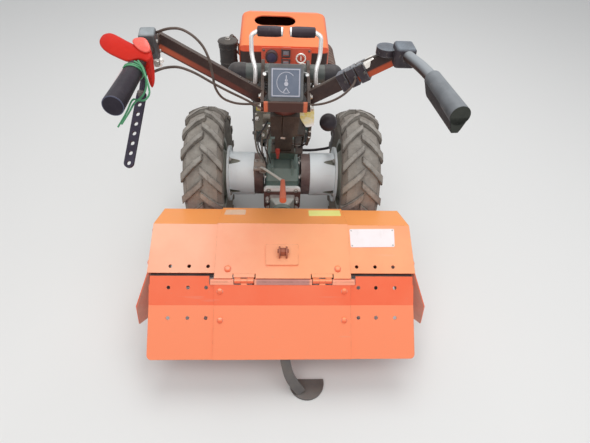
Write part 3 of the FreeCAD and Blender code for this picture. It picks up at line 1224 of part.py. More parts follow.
def stop_lever():
    """The red dead-man lever: a bent sheet from the box over the grip with a rounded tip, and its strap."""
    pieces = []
    half = STOP_LEVER_SHEET / 2.0
    for (start, start_width), (end, end_width) in zip(STOP_LEVER_LINE, STOP_LEVER_LINE[1:]):
        across, upright = sheet_frame(start, end)
        low = V(*start) - upright * half
        high = V(*end) - upright * half
        corners = [low - across * (start_width / 2.0), low + across * (start_width / 2.0),
                   high + across * (end_width / 2.0), high - across * (end_width / 2.0)]
        face = Part.Face(Part.makePolygon(corners + [corners[0]]))
        pieces.append(face.extrude(upright * STOP_LEVER_SHEET))
        pieces.append(Part.makeCylinder(end_width / 2.0, STOP_LEVER_SHEET, high, upright))
    for start, end in zip(STOP_STRAP_LINE, STOP_STRAP_LINE[1:]):
        pieces.append(straight_bar(start, end, STOP_STRAP_WIDTH, STOP_LEVER_SHEET))
    return fuse(pieces).cut(mirrored(handle("left"))).cut(control_box()).cut(clutch_lever())


def clutch_lever():
    """The slotted lever under the left grip, on a rod from the handle's tube."""
    start = V(*CLUTCH_TOP)
    end = V(*CLUTCH_END)
    bar = straight_bar(CLUTCH_TOP, CLUTCH_END, CLUTCH_WIDTH, CLUTCH_SHEET)
    across, upright = sheet_frame(CLUTCH_TOP, CLUTCH_END)
    half = upright * (CLUTCH_SHEET / 2.0)
    pieces = [bar]
    for spot in (start, end):
        pieces.append(Part.makeCylinder(CLUTCH_WIDTH / 2.0, CLUTCH_SHEET, spot - half, upright))
    left = HANDLE_PLACES["left"]
    joint = point_on(left[0], left[1], 0.5)
    pieces.append(rod((-joint[0], joint[1], joint[2]), CLUTCH_TOP, CLUTCH_ROD_RADIUS))
    lever = fuse(pieces)
    holes = []
    for number in range(CLUTCH_HOLE_COUNT):
        spot = start + end.sub(start) * ((number + 1.0) / CLUTCH_HOLE_COUNT)
        holes.append(Part.makeCylinder(CLUTCH_HOLE_RADIUS, 4.0 * CLUTCH_SHEET, spot - upright * (2.0 * CLUTCH_SHEET),
                                       upright))
    return lever.cut(Part.makeCompound(holes)).cut(mirrored(handle("left")))


def throttle_bracket():
    """The cast elbow on the right handle's corner, its thumb lever and the clamps along the arm."""
    wide, long, tall = ELBOW_SIZE
    corner = HANDLE_PLACES["right"][0]
    elbow = box(-wide / 2.0, wide / 2.0, -long * 0.7, long * 0.3, -tall / 2.0, tall / 2.0)
    elbow = rounded(elbow, 7.0, lambda edge: runs_along(edge, ALONG_Z) or edge.CenterOfMass.z > tall / 2.0 - 0.1)
    elbow.translate(V(*corner))
    pieces = [elbow]
    for share in CLAMP_SHARES:
        pieces.append(arm_bar("right", ARM_THICKNESS + 2.0 * CLAMP_MARGIN, ARM_HEIGHT + 2.0 * CLAMP_MARGIN,
                              (share - 0.04, share + 0.04)))
    start = (YOKE_X + YOKE_THICKNESS / 2.0, YOKE_END_Y, YOKE_END_Z)
    seat = V(*point_on(start, corner, THUMB_LEVER_SHARE)) + V(0, 0, ARM_HEIGHT / 2.0)
    pieces.append(Part.makeCylinder(THUMB_LEVER_RADIUS, THUMB_LEVER_HEIGHT, seat, ALONG_Z))
    solid = arm_bar("right").fuse(handle("right"))
    return Part.makeCompound(pieces).cut(solid)


def control_cables():
    """The cables along the handlebar, each from its control to a plate or a clamp."""
    cables = []
    for name, route in CABLE_ROUTES.items():
        points = [V(*point) for point in route]
        radii = []
        for before, here, after in zip(points, points[1:], points[2:]):
            into = here.sub(before)
            out = after.sub(here)
            radii.append(0.45 * min(into.Length, out.Length) / math.tan(into.getAngle(out) / 2.0))
        print("cable", name, "smallest bend radius %.0f mm" % min(radii))
        cables.append(round_bar(route, CABLE_RADIUS))
    solid = fuse([control_box(), stop_lever(), throttle_bracket(), mirrored(handle_arm("left")), handle_arm("right")])
    return Part.makeCompound(cables).cut(solid)


def cross_tube_caps():
    """The black end caps of the cross tube."""
    inner = CROSS_TUBE_HALF_LENGTH
    cap = cylinder(CAP_RADIUS, CAP_LENGTH, (inner, PIVOT_Y, PIVOT_Z), ALONG_X)
    ball = Part.makeSphere(CAP_RADIUS, V(inner + CAP_LENGTH, PIVOT_Y, PIVOT_Z))
    ball = ball.common(box(inner + CAP_LENGTH, inner + 3.0 * CAP_RADIUS, PIVOT_Y - 2.0 * CAP_RADIUS,
                           PIVOT_Y + 2.0 * CAP_RADIUS, PIVOT_Z - 2.0 * CAP_RADIUS, PIVOT_Z + 2.0 * CAP_RADIUS))
    cap = fuse([cap, ball])
    return Part.makeCompound([cap, mirrored(cap)])


def pto_lever():
    """The bent rod from the gearbox's left side with its tapered grip over the coupling."""
    shaft = round_bar(PTO_LEVER_ROUTE, PTO_LEVER_RADIUS, 0.4)
    sleeve = Part.makeCone(PTO_GRIP_RADII[0], PTO_GRIP_RADII[1], PTO_GRIP_LENGTH, V(*PTO_LEVER_ROUTE[-1]), V(0, -1, 0))
    return fuse([shaft, sleeve])


def gear_lever():
    """The long rod from the gearbox's right side, over the drum, with its ball."""
    shaft = round_bar(GEAR_LEVER_ROUTE, GEAR_LEVER_RADIUS, 0.4)
    before, end = (V(*point) for point in GEAR_LEVER_ROUTE[-2:])
    heading = end.sub(before)
    heading.normalize()
    return fuse([shaft, Part.makeSphere(GEAR_BALL_RADIUS, end + heading * (GEAR_BALL_RADIUS - 4.0))])


def export(name, shape):
    shape = shape.copy()
    shape.translate(V(0, AXLE_FROM_ORIGIN, 0))
    shape.exportStep("parts/%s.step" % name)


def main():
    os.makedirs("parts", exist_ok=True)
    nodes = {}
    for name, side in SIDES:
        moved = tyre()
        moved.translate(V(WHEEL_X, 0, 0))
        nodes["tyre_" + name] = at_wheel(moved, side)
        nodes["rim_" + name] = at_wheel(rim(), side)
        nodes["drum_" + name] = at_wheel(drum(), side)
        nodes["hub_" + name] = at_wheel(hub(), side)
    nodes["gearbox_housing"] = gearbox_housing()
    nodes["engine_block"] = engine_block()
    nodes["engine_cylinder"] = engine_cylinder()
    nodes["fan_housing"] = fan_housing()
    nodes["engine_hood"] = engine_hood()
    nodes["fuel_tank"] = fuel_tank()
    nodes["hood_brackets"] = hood_brackets()
    nodes["control_panel"] = control_panel()
    nodes["air_filter"] = air_filter()
    nodes["muffler"] = muffler()
    nodes["front_bumper"] = front_bumper()
    nodes["pto_coupling"] = pto_coupling()
    nodes["tiller_gear_case"] = tiller_gear_case()
    nodes["tiller_hood"] = tiller_hood()
    nodes["hood_extensions"] = hood_extensions()
    nodes["side_shields"] = side_shields()
    nodes["flap_hinges"] = flap_hinges()
    nodes["rear_flap"] = rear_flap()
    nodes["rotor_shaft"] = rotor_shaft()
    nodes["rotor_tines"] = rotor_tines()
    nodes["skid_bracket"] = skid_bracket()
    nodes["depth_skid"] = depth_skid()
    nodes["steering_column"] = steering_column()
    nodes["swivel_head"] = swivel_head()
    nodes["console"] = console()
    nodes["handlebar_brace"] = handlebar_brace()
    nodes["cross_tube_caps"] = cross_tube_caps()
    nodes["hand_levers"] = hand_levers()
    nodes["pto_lever"] = pto_lever()
    nodes["gear_lever"] = gear_lever()
    for name, side in SIDES:
        nodes["handle_arm_" + name] = for_side(handle_arm(name), side)
        nodes["grip_" + name] = for_side(grip(name), side)
    nodes["control_box"] = control_box()
    nodes["stop_lever"] = stop_lever()
    nodes["clutch_lever"] = clutch_lever()
    nodes["throttle_bracket"] = throttle_bracket()
    nodes["control_cables"] = control_cables()
    for name, shape in nodes.items():
        export(name, shape)


main()
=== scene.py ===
import json
import math

import bpy
from mathutils import Matrix, Vector


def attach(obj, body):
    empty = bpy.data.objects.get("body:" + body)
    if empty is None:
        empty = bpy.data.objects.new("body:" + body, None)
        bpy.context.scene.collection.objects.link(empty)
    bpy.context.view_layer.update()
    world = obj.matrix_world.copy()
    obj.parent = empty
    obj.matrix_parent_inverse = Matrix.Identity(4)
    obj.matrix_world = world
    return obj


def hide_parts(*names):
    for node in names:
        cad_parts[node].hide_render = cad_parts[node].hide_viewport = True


# Walking tractor with a rear rotary tiller. Metres, +Y forward, +X to the operator's right, +Z up.
# Places of added pieces are in millimetres from the wheel axle's line above the ground.

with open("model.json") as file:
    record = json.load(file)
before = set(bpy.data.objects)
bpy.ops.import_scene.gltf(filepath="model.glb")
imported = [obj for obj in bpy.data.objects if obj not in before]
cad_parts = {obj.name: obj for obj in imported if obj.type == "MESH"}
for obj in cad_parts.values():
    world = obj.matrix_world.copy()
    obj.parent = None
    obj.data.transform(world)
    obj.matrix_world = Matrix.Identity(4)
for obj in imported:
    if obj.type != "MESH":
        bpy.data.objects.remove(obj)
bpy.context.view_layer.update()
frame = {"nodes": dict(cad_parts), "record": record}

AXLE_FORWARD = 95.5
AXLE_HEIGHT = 252.0
DRUM_TURN = -43.0

# The camera's place and turn, and its lens for a sensor 36 mm wide
CAMERA_PLACE = Vector((-0.0225, -1.2482, 1.2962))
CAMERA_YAW = math.radians(3.67)
CAMERA_PITCH = math.radians(45.06)
CAMERA_ROLL = math.radians(-3.08)
CAMERA_LENS = 25.9
CAMERA_SHIFT_Y = 0.011

# Colours
DUST = (0.42, 0.35, 0.28)
PALE_DUST = (0.62, 0.50, 0.42)
MUD = (0.22, 0.165, 0.12)
RUST = (0.17, 0.065, 0.03)
ORANGE = (0.92, 0.150, 0.062)
ORANGE_FADED = (0.93, 0.185, 0.085)
# Painted sheen on the tiller hood's main slope
SHEEN_PALE_ORANGE = (0.97, 0.50, 0.33)
SHEEN_WARM_ORANGE = (0.97, 0.41, 0.20)
RED_ORANGE = (0.20, 0.050, 0.034)

UP = Vector((0.0, 0.0, 1.0))
RIGHT = Vector((1.0, 0.0, 0.0))
AHEAD = Vector((0.0, 1.0, 0.0))

# The tiller hood's slopes and the flap's slopes: a point of the side sheet's upper face, and the way out of it
HOOD_FRONT = (Vector((0.0, -266.0, 303.0)), Vector((0.0, 0.4023, 0.9155)))
HOOD_MAIN = (Vector((0.0, -398.0, 361.0)), Vector((0.0, -0.3594, 0.9332)))
FLAP_UPPER = (Vector((0.0, -574.0, 284.0)), Vector((0.0, -0.7071, 0.7071)))
FLAP_LOWER = (Vector((0.0, -617.0, 241.0)), Vector((0.0, -0.6262, 0.7796)))
SHEET = 4.0


# Materials

class Shader:
    """A material's node tree, with short calls for the nodes used here."""

    def __init__(self, name):
        self.material = bpy.data.materials.new(name)
        self.material.use_nodes = True
        self.tree = self.material.node_tree
        self.tree.nodes.clear()
        self.output = self.node("ShaderNodeOutputMaterial")
        self.surface = self.node("ShaderNodeBsdfPrincipled")
        self.link(self.surface.outputs[0], self.output.inputs[0])
        self.place = self.node("ShaderNodeTexCoord").outputs["Object"]

    def node(self, kind, **settings):
        made = self.tree.nodes.new(kind)
        for key, value in settings.items():
            setattr(made, key, value)
        return made

    def link(self, start, end):
        self.tree.links.new(start, end)

    def feed(self, socket, value):
        if isinstance(value, bpy.types.NodeSocket):
            self.link(value, socket)
        elif isinstance(value, tuple) and len(value) == 3 and socket.type == "RGBA":
            socket.default_value = value + (1.0,)
        else:
            socket.default_value = value

    def noise(self, scale, detail=4.0, roughness=0.55, stretch=(1.0, 1.0, 1.0), shift=0.0):
        place = self.place
        if stretch != (1.0, 1.0, 1.0) or shift:
            mapping = self.node("ShaderNodeMapping")
            mapping.inputs["Scale"].default_value = stretch
            mapping.inputs["Location"].default_value = (shift, shift * 0.7, shift * 1.3)
            self.link(place, mapping.inputs["Vector"])
            place = mapping.outputs[0]
        made = self.node("ShaderNodeTexNoise")
        self.link(place, made.inputs["Vector"])
        made.inputs["Scale"].default_value = scale
        made.inputs["Detail"].default_value = detail
        made.inputs["Roughness"].default_value = roughness
        return made.outputs["Fac"]

    def ramp(self, value, low, high, bottom=0.0, top=1.0):
        made = self.node("ShaderNodeMapRange")
        self.feed(made.inputs["Value"], value)
        for key, number in (("From Min", low), ("From Max", high), ("To Min", bottom), ("To Max", top)):
            made.inputs[key].default_value = number
        return made.outputs[0]

    def math(self, operation, first, second=0.5, clamp=False):
        made = self.node("ShaderNodeMath", operation=operation, use_clamp=clamp)
        self.feed(made.inputs[0], first)
        self.feed(made.inputs[1], second)
        return made.outputs[0]

    def times(self, *values):
        product = values[0]
        for value in values[1:]:
            product = self.math("MULTIPLY", product, value, True)
        return product

    def mix(self, amount, first, second):
        made = self.node("ShaderNodeMix", data_type="RGBA")
        self.feed(made.inputs["Factor"], amount)
        self.feed(made.inputs["A"], first)
        self.feed(made.inputs["B"], second)
        return made.outputs["Result"]

    def split(self, vector, axis):
        made = self.node("ShaderNodeSeparateXYZ")
        self.link(vector, made.inputs[0])
        return made.outputs[axis]

    def along(self, axis):
        """The place along an axis, in metres of the frame."""
        return self.split(self.place, axis)

    def facing(self, axis):
        """How far the face looks along an axis of the frame."""
        return self.split(self.node("ShaderNodeTexCoord").outputs["Normal"], axis)

    def aside(self):
        """How far the face looks to either side."""
        return self.math("ABSOLUTE", self.facing("X"), 0.0)

    def off_middle(self):
        """The distance from the middle plane."""
        return self.math("ABSOLUTE", self.along("X"), 0.0)

    def blend(self, amount, first, second):
        """A number between two, by an amount from 0 to 1."""
        return self.ramp(amount, 0.0, 1.0, first, second)

    def without(self, value):
        return self.math("SUBTRACT", 1.0, value, True)

    def beyond(self, point, direction, width=0.002):
        """1 past a plane through a point (mm from the axle), 0 before it."""
        spot = at(*point)
        dot = self.node("ShaderNodeVectorMath", operation="DOT_PRODUCT")
        self.link(self.place, dot.inputs[0])
        dot.inputs[1].default_value = direction
        level = spot.dot(Vector(direction))
        return self.ramp(dot.outputs["Value"], level - width, level + width)

    def from_axle(self):
        """The distance from the wheels' axis."""
        forward = self.math("SUBTRACT", self.along("Y"), AXLE_FORWARD / 1000.0)
        up = self.math("SUBTRACT", self.along("Z"), AXLE_HEIGHT / 1000.0)
        square = self.math("ADD", self.math("MULTIPLY", forward, forward), self.math("MULTIPLY", up, up))
        return self.math("SQRT", square, 0.0)

    def edges(self, width):
        """1 along an edge of about this width, 0 on a flat."""
        bevel = self.node("ShaderNodeBevel", samples=4)
        bevel.inputs["Radius"].default_value = width
        dot = self.node("ShaderNodeVectorMath", operation="DOT_PRODUCT")
        self.link(bevel.outputs[0], dot.inputs[0])
        self.link(self.node("ShaderNodeNewGeometry").outputs["Normal"], dot.inputs[1])
        return self.ramp(dot.outputs["Value"], 0.995, 0.93)

    def bump(self, height, strength, distance=0.001):
        made = self.node("ShaderNodeBump")
        made.inputs["Strength"].default_value = strength
        made.inputs["Distance"].default_value = distance
        self.link(height, made.inputs["Height"])
        self.link(made.outputs[0], self.surface.inputs["Normal"])

    def finish(self, colour, roughness, metallic=0.0, gloss=0.5):
        self.feed(self.surface.inputs["Base Color"], colour)
        self.feed(self.surface.inputs["Roughness"], roughness)
        self.feed(self.surface.inputs["Metallic"], metallic)
        self.surface.inputs["Specular IOR Level"].default_value = gloss
        return self.material


def at(x, y, z):
    """A place in metres of the frame from millimetres from the axle's line."""
    return Vector((x, y + AXLE_FORWARD, z)) / 1000.0


def paint(name, colour, faded, dust_and_sheen=0.35, mud=0.0, wear=0.5, wear_colour=RUST, roughness=(0.32, 0.6), metallic=0.0,
          grain=300.0, bump=0.15, gloss=0.35, film=DUST, patch=6.0, zone=None, scratches=0.0, stains=0.0):
    """Painted or moulded surface: faded in patches, dusty on top, worn along its edges, muddy low down; where the film
    on top is a paler tone of the paint itself, it is painted sheen.
    """
    shader = Shader(name)
    patches = shader.ramp(shader.noise(patch, 5.0, 0.6), 0.35, 0.65)
    fine = shader.noise(grain, 3.0, 0.6)
    base = shader.mix(patches, colour, faded)
    if zone:
        for mask, zone_colour in zone(shader):
            base = shader.mix(mask, base, zone_colour)
    if stains:
        runs = shader.ramp(shader.noise(22.0, 5.0, 0.6, stretch=(1.0, 0.25, 0.25), shift=11.0), 0.54, 0.70)
        base = shader.mix(shader.times(runs, stains), base, DUST)
    if scratches:
        lines = shader.ramp(shader.noise(60.0, 2.0, 0.5, stretch=(0.12, 1.0, 1.0), shift=2.0), 0.68, 0.74)
        base = shader.mix(shader.times(lines, scratches), base, PALE_DUST)
    speck = shader.ramp(shader.noise(90.0, 4.0, 0.7, shift=3.0), 0.6, 0.72)
    base = shader.mix(shader.math("MULTIPLY", speck, 0.35 * dust_and_sheen), base, DUST)
    # Film on faces looking up: dust, and on the engine hood and the right grip a paler tone that is painted sheen.
    lying = shader.ramp(shader.facing("Z"), 0.2, 0.95)
    blotch = shader.ramp(shader.noise(14.0, 6.0, 0.65, shift=7.0), 0.3, 0.75, 0.25, 1.0)
    base = shader.mix(shader.times(lying, blotch, dust_and_sheen), base, film)
    if wear:
        rub = shader.times(shader.edges(0.0025), shader.ramp(shader.noise(45.0, 5.0, 0.7), 0.42, 0.6))
        base = shader.mix(shader.times(rub, wear), base, wear_colour)
    if mud:
        low = shader.ramp(shader.along("Z"), 0.34, 0.10)
        splash = shader.ramp(shader.noise(26.0, 6.0, 0.75, shift=5.0), 0.62, 0.38)
        base = shader.mix(shader.times(low, splash, mud), base, MUD)
    rough = shader.ramp(fine, 0.3, 0.7, *roughness)
    shader.bump(fine, bump, 0.0006)
    return shader.finish(base, rough, metallic, gloss)


def left_arm_band(shader):
    """The lower half of the left arm, bright near the box and darker inwards, where the darkening is painted shade."""
    near = shader.beyond((-100.0, 0.0, 0.0), (-1.0, 0.0, 0.0), 0.02)
    lower = shader.beyond((-60.0, 0.0, 747.5), (-0.585, 0.0, -0.811))
    bottom = shader.beyond((-60.0, 0.0, 733.5), (-0.585, 0.0, -0.811))
    band = shader.times(near, lower, shader.without(bottom))
    out_of_shade = shader.ramp(shader.off_middle(), 0.17, 0.27)
    return [(band, shader.mix(out_of_shade, (0.135, 0.040, 0.030), (0.50, 0.105, 0.050)))]


def right_arm_band(shader):
    """The lower half of the right arm beside the throttle, and the tube's pale blue-grey top behind the bend, a painted
    sheen.
    """
    lower = shader.beyond((60.0, 0.0, 747.0), (0.611, 0.0, -0.7915))
    start = shader.beyond((168.0, 0.0, 0.0), (1.0, 0.0, 0.0), 0.014)
    front = shader.beyond((0.0, -402.0, 0.0), (0.0, 1.0, 0.0))
    # Painted sheen: pale blue-grey on the tube's top behind the bend.
    dusty = shader.times(shader.without(front), shader.ramp(shader.facing("Z"), 0.0, 0.75))
    return [(shader.times(lower, start, front), (0.46, 0.085, 0.038)), (dusty, (0.29, 0.32, 0.35))]


def brace_middle_shade(shader):
    # Painted shade: the brace's middle darkened to red-brown under the console.
    return [(shader.ramp(shader.off_middle(), 0.048, 0.044), (0.075, 0.034, 0.027))]


def head_foot(shader):
    return [(shader.beyond((0.0, 0.0, 752.0), (0.0, 0.0, -1.0)), RED_ORANGE)]


def pto_grip(shader):
    return [(shader.beyond((0.0, -203.0, 380.0), (0.0, -1.0, 0.0)), (0.66, 0.16, 0.085))]


def pockets(shader):
    """The inside of the drums' pockets and what lies within the drums' rim."""
    return [(shader.ramp(shader.from_axle(), 0.0832, 0.0824), (0.17, 0.165, 0.125))]


def lit_deck(shader):
    """The casting's deck, paler than its sides where it faces up: painted light."""
    return [(shader.times(shader.ramp(shader.facing("Z"), 0.5, 0.9), 0.5), (0.20, 0.27, 0.25))]


def coupling_parts(shader):
    """The coupling's flange: pale along its top, rusty brown below."""
    flange = shader.beyond((0.0, -161.0, 0.0), (0.0, 1.0, 0.0))
    top = shader.beyond((0.0, 0.0, 281.0), (0.0, 0.0, 1.0), 0.004)
    return [(shader.times(flange, shader.without(top)), (0.125, 0.060, 0.052)),
            (shader.times(flange, top), (0.86, 0.84, 0.82))]


def hood_skirt_shade(shader):
    """Painted shade on the engine hood: its rear wall dark below its rim, its rear-facing rim and its flanks deeper
    than its top.
    """
    rear = shader.times(shader.ramp(shader.facing("Y"), -0.4, -0.7), shader.beyond((0, 0, 711.0), (0.0, 0.0, -1.0)))
    flank_shade = shader.ramp(shader.aside(), 0.5, 0.8)
    rim = shader.ramp(shader.facing("Y"), -0.4, -0.7)
    return [(flank_shade, (0.86, 0.15, 0.050)), (rim, (0.90, 0.125, 0.050)), (rear, (0.040, 0.022, 0.020))]


def edge_middle_shade(shader):
    """The middle of the flap's rolled edge, between the hinges, darkened: painted shade."""
    return [(shader.ramp(shader.off_middle(), 0.082, 0.076), (0.46, 0.20, 0.175))]


def tiller_paint(name, wear=0.5, scuffs=1.0):
    """The tiller's orange: painted sheen pales the main slope and the flap's lower part, painted light makes the front
    lighter and yellower; deeper on the flap's upper part, dusty at the ends.
    """
    shader = Shader(name)
    fine = shader.noise(300.0, 3.0, 0.6)
    up, ahead = shader.facing("Z"), shader.facing("Y")
    base = shader.mix(shader.ramp(shader.noise(5.0, 4.0, 0.55), 0.35, 0.65), ORANGE, ORANGE_FADED)
    # Painted sheen: the flap's lower part is paler than its upper part.
    lower = shader.times(shader.ramp(ahead, -0.69, -0.64), shader.ramp(ahead, -0.45, -0.55), shader.ramp(up, 0.5, 0.7))
    base = shader.mix(lower, base, (0.96, 0.262, 0.122))
    # Painted sheen: the main slope and flat tops go pale orange in blotches, paler on the left.
    main = shader.times(shader.ramp(up, 0.80, 0.90), shader.ramp(ahead, 0.20, -0.05))
    cloud = shader.ramp(shader.noise(4.5, 5.0, 0.6, shift=7.0), 0.3, 0.7, 0.70, 1.0)
    painted_sheen = shader.mix(shader.ramp(shader.along("X"), -0.25, 0.05), SHEEN_PALE_ORANGE, SHEEN_WARM_ORANGE)
    base = shader.mix(shader.times(main, cloud), base, painted_sheen)
    # Painted light: the front slope is lighter and yellower than the rest.
    front = shader.times(shader.ramp(ahead, 0.20, 0.38), shader.ramp(up, 0.60, 0.85))
    base = shader.mix(front, base, (0.98, 0.36, 0.10))
    ends = shader.times(shader.ramp(shader.aside(), 0.6, 0.9), shader.ramp(shader.noise(12.0, 5.0, 0.6), 0.3, 0.7, 0.50, 0.90))
    base = shader.mix(ends, base, (0.84, 0.66, 0.56))
    speck = shader.ramp(shader.noise(90.0, 4.0, 0.7, shift=3.0), 0.62, 0.74)
    base = shader.mix(shader.math("MULTIPLY", speck, 0.10 * scuffs), base, DUST)
    lines = shader.ramp(shader.noise(60.0, 2.0, 0.5, stretch=(0.12, 1.0, 1.0), shift=2.0), 0.70, 0.76)
    base = shader.mix(shader.math("MULTIPLY", lines, 0.10 * scuffs), base, PALE_DUST)
    rub = shader.times(shader.edges(0.0025), shader.ramp(shader.noise(45.0, 5.0, 0.7), 0.42, 0.6), wear)
    base = shader.mix(rub, base, RUST)
    low = shader.times(shader.ramp(shader.along("Z"), 0.34, 0.10), shader.ramp(shader.noise(26.0, 6.0, 0.75), 0.62, 0.38))
    base = shader.mix(shader.times(low, shader.aside(), 0.3), base, MUD)
    shader.bump(fine, 0.08, 0.0005)
    return shader.finish(base, shader.ramp(fine, 0.3, 0.7, 0.38, 0.52), 0.0, 0.30)


def tyre_rubber():
    """Dusty rubber: pale earth between and on the lugs, painted shade along the lugs' edges, cracked and pitted."""
    shader = Shader("tyre_rubber")
    reach = shader.from_axle()
    tread = shader.ramp(reach, 0.215, 0.245)
    cloud = shader.ramp(shader.noise(11.0, 6.0, 0.7), 0.36, 0.64)
    dusty = shader.mix(cloud, (0.300, 0.262, 0.226), (0.200, 0.174, 0.150))
    worn = shader.mix(shader.ramp(shader.noise(24.0, 5.0, 0.7, shift=4.0), 0.4, 0.62), (0.345, 0.320, 0.285),
                      (0.235, 0.212, 0.188))
    base = shader.mix(tread, dusty, worn)
    # Painted shade: dark lines along the lugs' edges.
    edge = shader.times(shader.edges(0.007), shader.ramp(shader.noise(38.0, 4.0, 0.7), 0.32, 0.56), 0.85)
    base = shader.mix(edge, base, (0.052, 0.044, 0.040))
    earth = shader.ramp(shader.noise(33.0, 7.0, 0.8, shift=9.0), 0.56, 0.70)
    base = shader.mix(shader.times(earth, 0.6), base, (0.40, 0.33, 0.26))
    low = shader.times(shader.ramp(shader.along("Z"), 0.24, 0.04), shader.ramp(shader.noise(18.0, 6.0, 0.7), 0.64, 0.40))
    base = shader.mix(shader.times(low, 0.65), base, MUD)
    fine = shader.noise(260.0, 5.0, 0.7)
    shader.bump(fine, 0.5, 0.001)
    return shader.finish(base, shader.ramp(fine, 0.3, 0.7, 0.72, 0.95))


def chrome_rod():
    """Bright bent rods with rusty feet."""
    shader = Shader("chrome_rod")
    fine = shader.noise(240.0, 4.0, 0.6)
    plate = shader.mix(shader.ramp(shader.noise(9.0, 3.0, 0.5), 0.4, 0.7), (0.93, 0.89, 0.87), (0.86, 0.83, 0.81))
    foot = shader.times(shader.ramp(shader.along("Z"), 0.800, 0.768), shader.ramp(fine, 0.35, 0.6, 0.5, 1.0))
    plate = shader.mix(shader.times(foot, 0.85), plate, (0.26, 0.15, 0.11))
    metallic = shader.times(shader.without(foot), 0.55)
    return shader.finish(plate, 0.26, metallic)


def rough_metal(name, colour, other, roughness=(0.28, 0.5), metallic=0.85, stain=0.4, stain_colour=RUST, scale=60.0):
    """Bare or plated metal with stains in patches."""
    shader = Shader(name)
    fine = shader.noise(300.0, 4.0, 0.6)
    base = shader.mix(shader.ramp(shader.noise(scale, 4.0, 0.6), 0.4, 0.65), colour, other)
    spots = shader.times(shader.ramp(shader.noise(scale * 2.2, 5.0, 0.75, shift=6.0), 0.56, 0.68), stain)
    base = shader.mix(spots, base, stain_colour)
    shader.bump(fine, 0.2, 0.0005)
    return shader.finish(base, shader.ramp(fine, 0.3, 0.7, *roughness), metallic)


MATERIALS = {
    "orange_paint": tiller_paint("tiller_paint"),
    # The engine hood's film is a paler orange on its top faces: painted sheen, with painted shade on its rear wall, rim
    # and flanks.
    "orange_plastic": paint("hood_plastic", (0.90, 0.205, 0.062), (0.91, 0.235, 0.075), dust_and_sheen=0.20, wear=0.25,
                            film=(0.93, 0.30, 0.12), wear_colour=(0.94, 0.42, 0.24), roughness=(0.36, 0.48), bump=0.05,
                            zone=hood_skirt_shade),
    "red_panel": paint("panel_plastic", (0.62, 0.090, 0.048), (0.68, 0.12, 0.07), dust_and_sheen=0.12, wear=0.3,
                       wear_colour=(0.75, 0.33, 0.24), roughness=(0.35, 0.5)),
    "red_plastic": paint("lever_plastic", (0.50, 0.012, 0.008), (0.62, 0.030, 0.016), dust_and_sheen=0.0, wear=0.15,
                         wear_colour=(0.85, 0.30, 0.24), roughness=(0.34, 0.46), bump=0.03, gloss=0.14),
    "white_paint": paint("rod_paint", (0.62, 0.61, 0.56), (0.50, 0.48, 0.43), dust_and_sheen=0.10, wear=0.5, zone=pto_grip,
                         wear_colour=(0.30, 0.20, 0.13)),
    "black_plastic": paint("black_plastic", (0.032, 0.028, 0.028), (0.055, 0.048, 0.046), dust_and_sheen=0.22, wear=0.3,
                           wear_colour=(0.2, 0.19, 0.18), patch=14.0, gloss=0.18),
    "black_paint": paint("black_paint", (0.030, 0.024, 0.022), (0.060, 0.046, 0.040), dust_and_sheen=0.24, wear=0.5,
                         wear_colour=(0.20, 0.13, 0.09), patch=14.0, stains=0.12, gloss=0.18),
    "black_rubber": paint("black_rubber", (0.030, 0.028, 0.032), (0.052, 0.050, 0.056), dust_and_sheen=0.14, wear=0.0,
                          roughness=(0.38, 0.55), patch=20.0, gloss=0.18),
    "tyre_rubber": tyre_rubber(),
    "grey_paint": paint("drum_paint", (0.86, 0.90, 0.92), (0.90, 0.94, 0.95), dust_and_sheen=0.12, wear=0.4, mud=0.10,
                        film=(0.90, 0.92, 0.91), zone=pockets, stains=0.12, scratches=0.12),
    "grey_green_paint": paint("rim_paint", (0.40, 0.42, 0.37), (0.50, 0.50, 0.44), dust_and_sheen=0.35, wear=0.6, mud=0.3,
                              stains=0.2),
    "grey_green_casting": paint("coupling_casting", (0.30, 0.325, 0.295), (0.42, 0.43, 0.39), dust_and_sheen=0.70, bump=0.4,
                                film=(0.66, 0.65, 0.61), roughness=(0.5, 0.75), patch=18.0, zone=coupling_parts),
    "green_casting": paint("gearbox_casting", (0.070, 0.135, 0.122), (0.125, 0.185, 0.168), dust_and_sheen=0.3, bump=0.5,
                           roughness=(0.38, 0.62), patch=16.0, zone=lit_deck),
    "dark_green_paint": paint("dark_green_paint", (0.065, 0.078, 0.074), (0.095, 0.108, 0.102), dust_and_sheen=0.15,
                              zone=head_foot, patch=18.0, wear=0.3),
    "dark_steel": paint("rusty_steel", (0.105, 0.058, 0.048), (0.17, 0.105, 0.085), dust_and_sheen=0.25, bump=0.5,
                        roughness=(0.55, 0.85), patch=22.0, stains=0.2),
    "bare_steel": paint("bare_steel", (0.085, 0.082, 0.088), (0.125, 0.118, 0.118), dust_and_sheen=0.25, mud=0.25,
                        roughness=(0.38, 0.60), metallic=0.30, bump=0.4, patch=18.0, wear_colour=(0.40, 0.37, 0.36)),
    "engine_casting": paint("engine_casting", (0.16, 0.16, 0.165), (0.24, 0.24, 0.24), dust_and_sheen=0.25, bump=0.5,
                            roughness=(0.45, 0.7), metallic=0.5, patch=16.0),
    "chrome_rod": chrome_rod(),
}

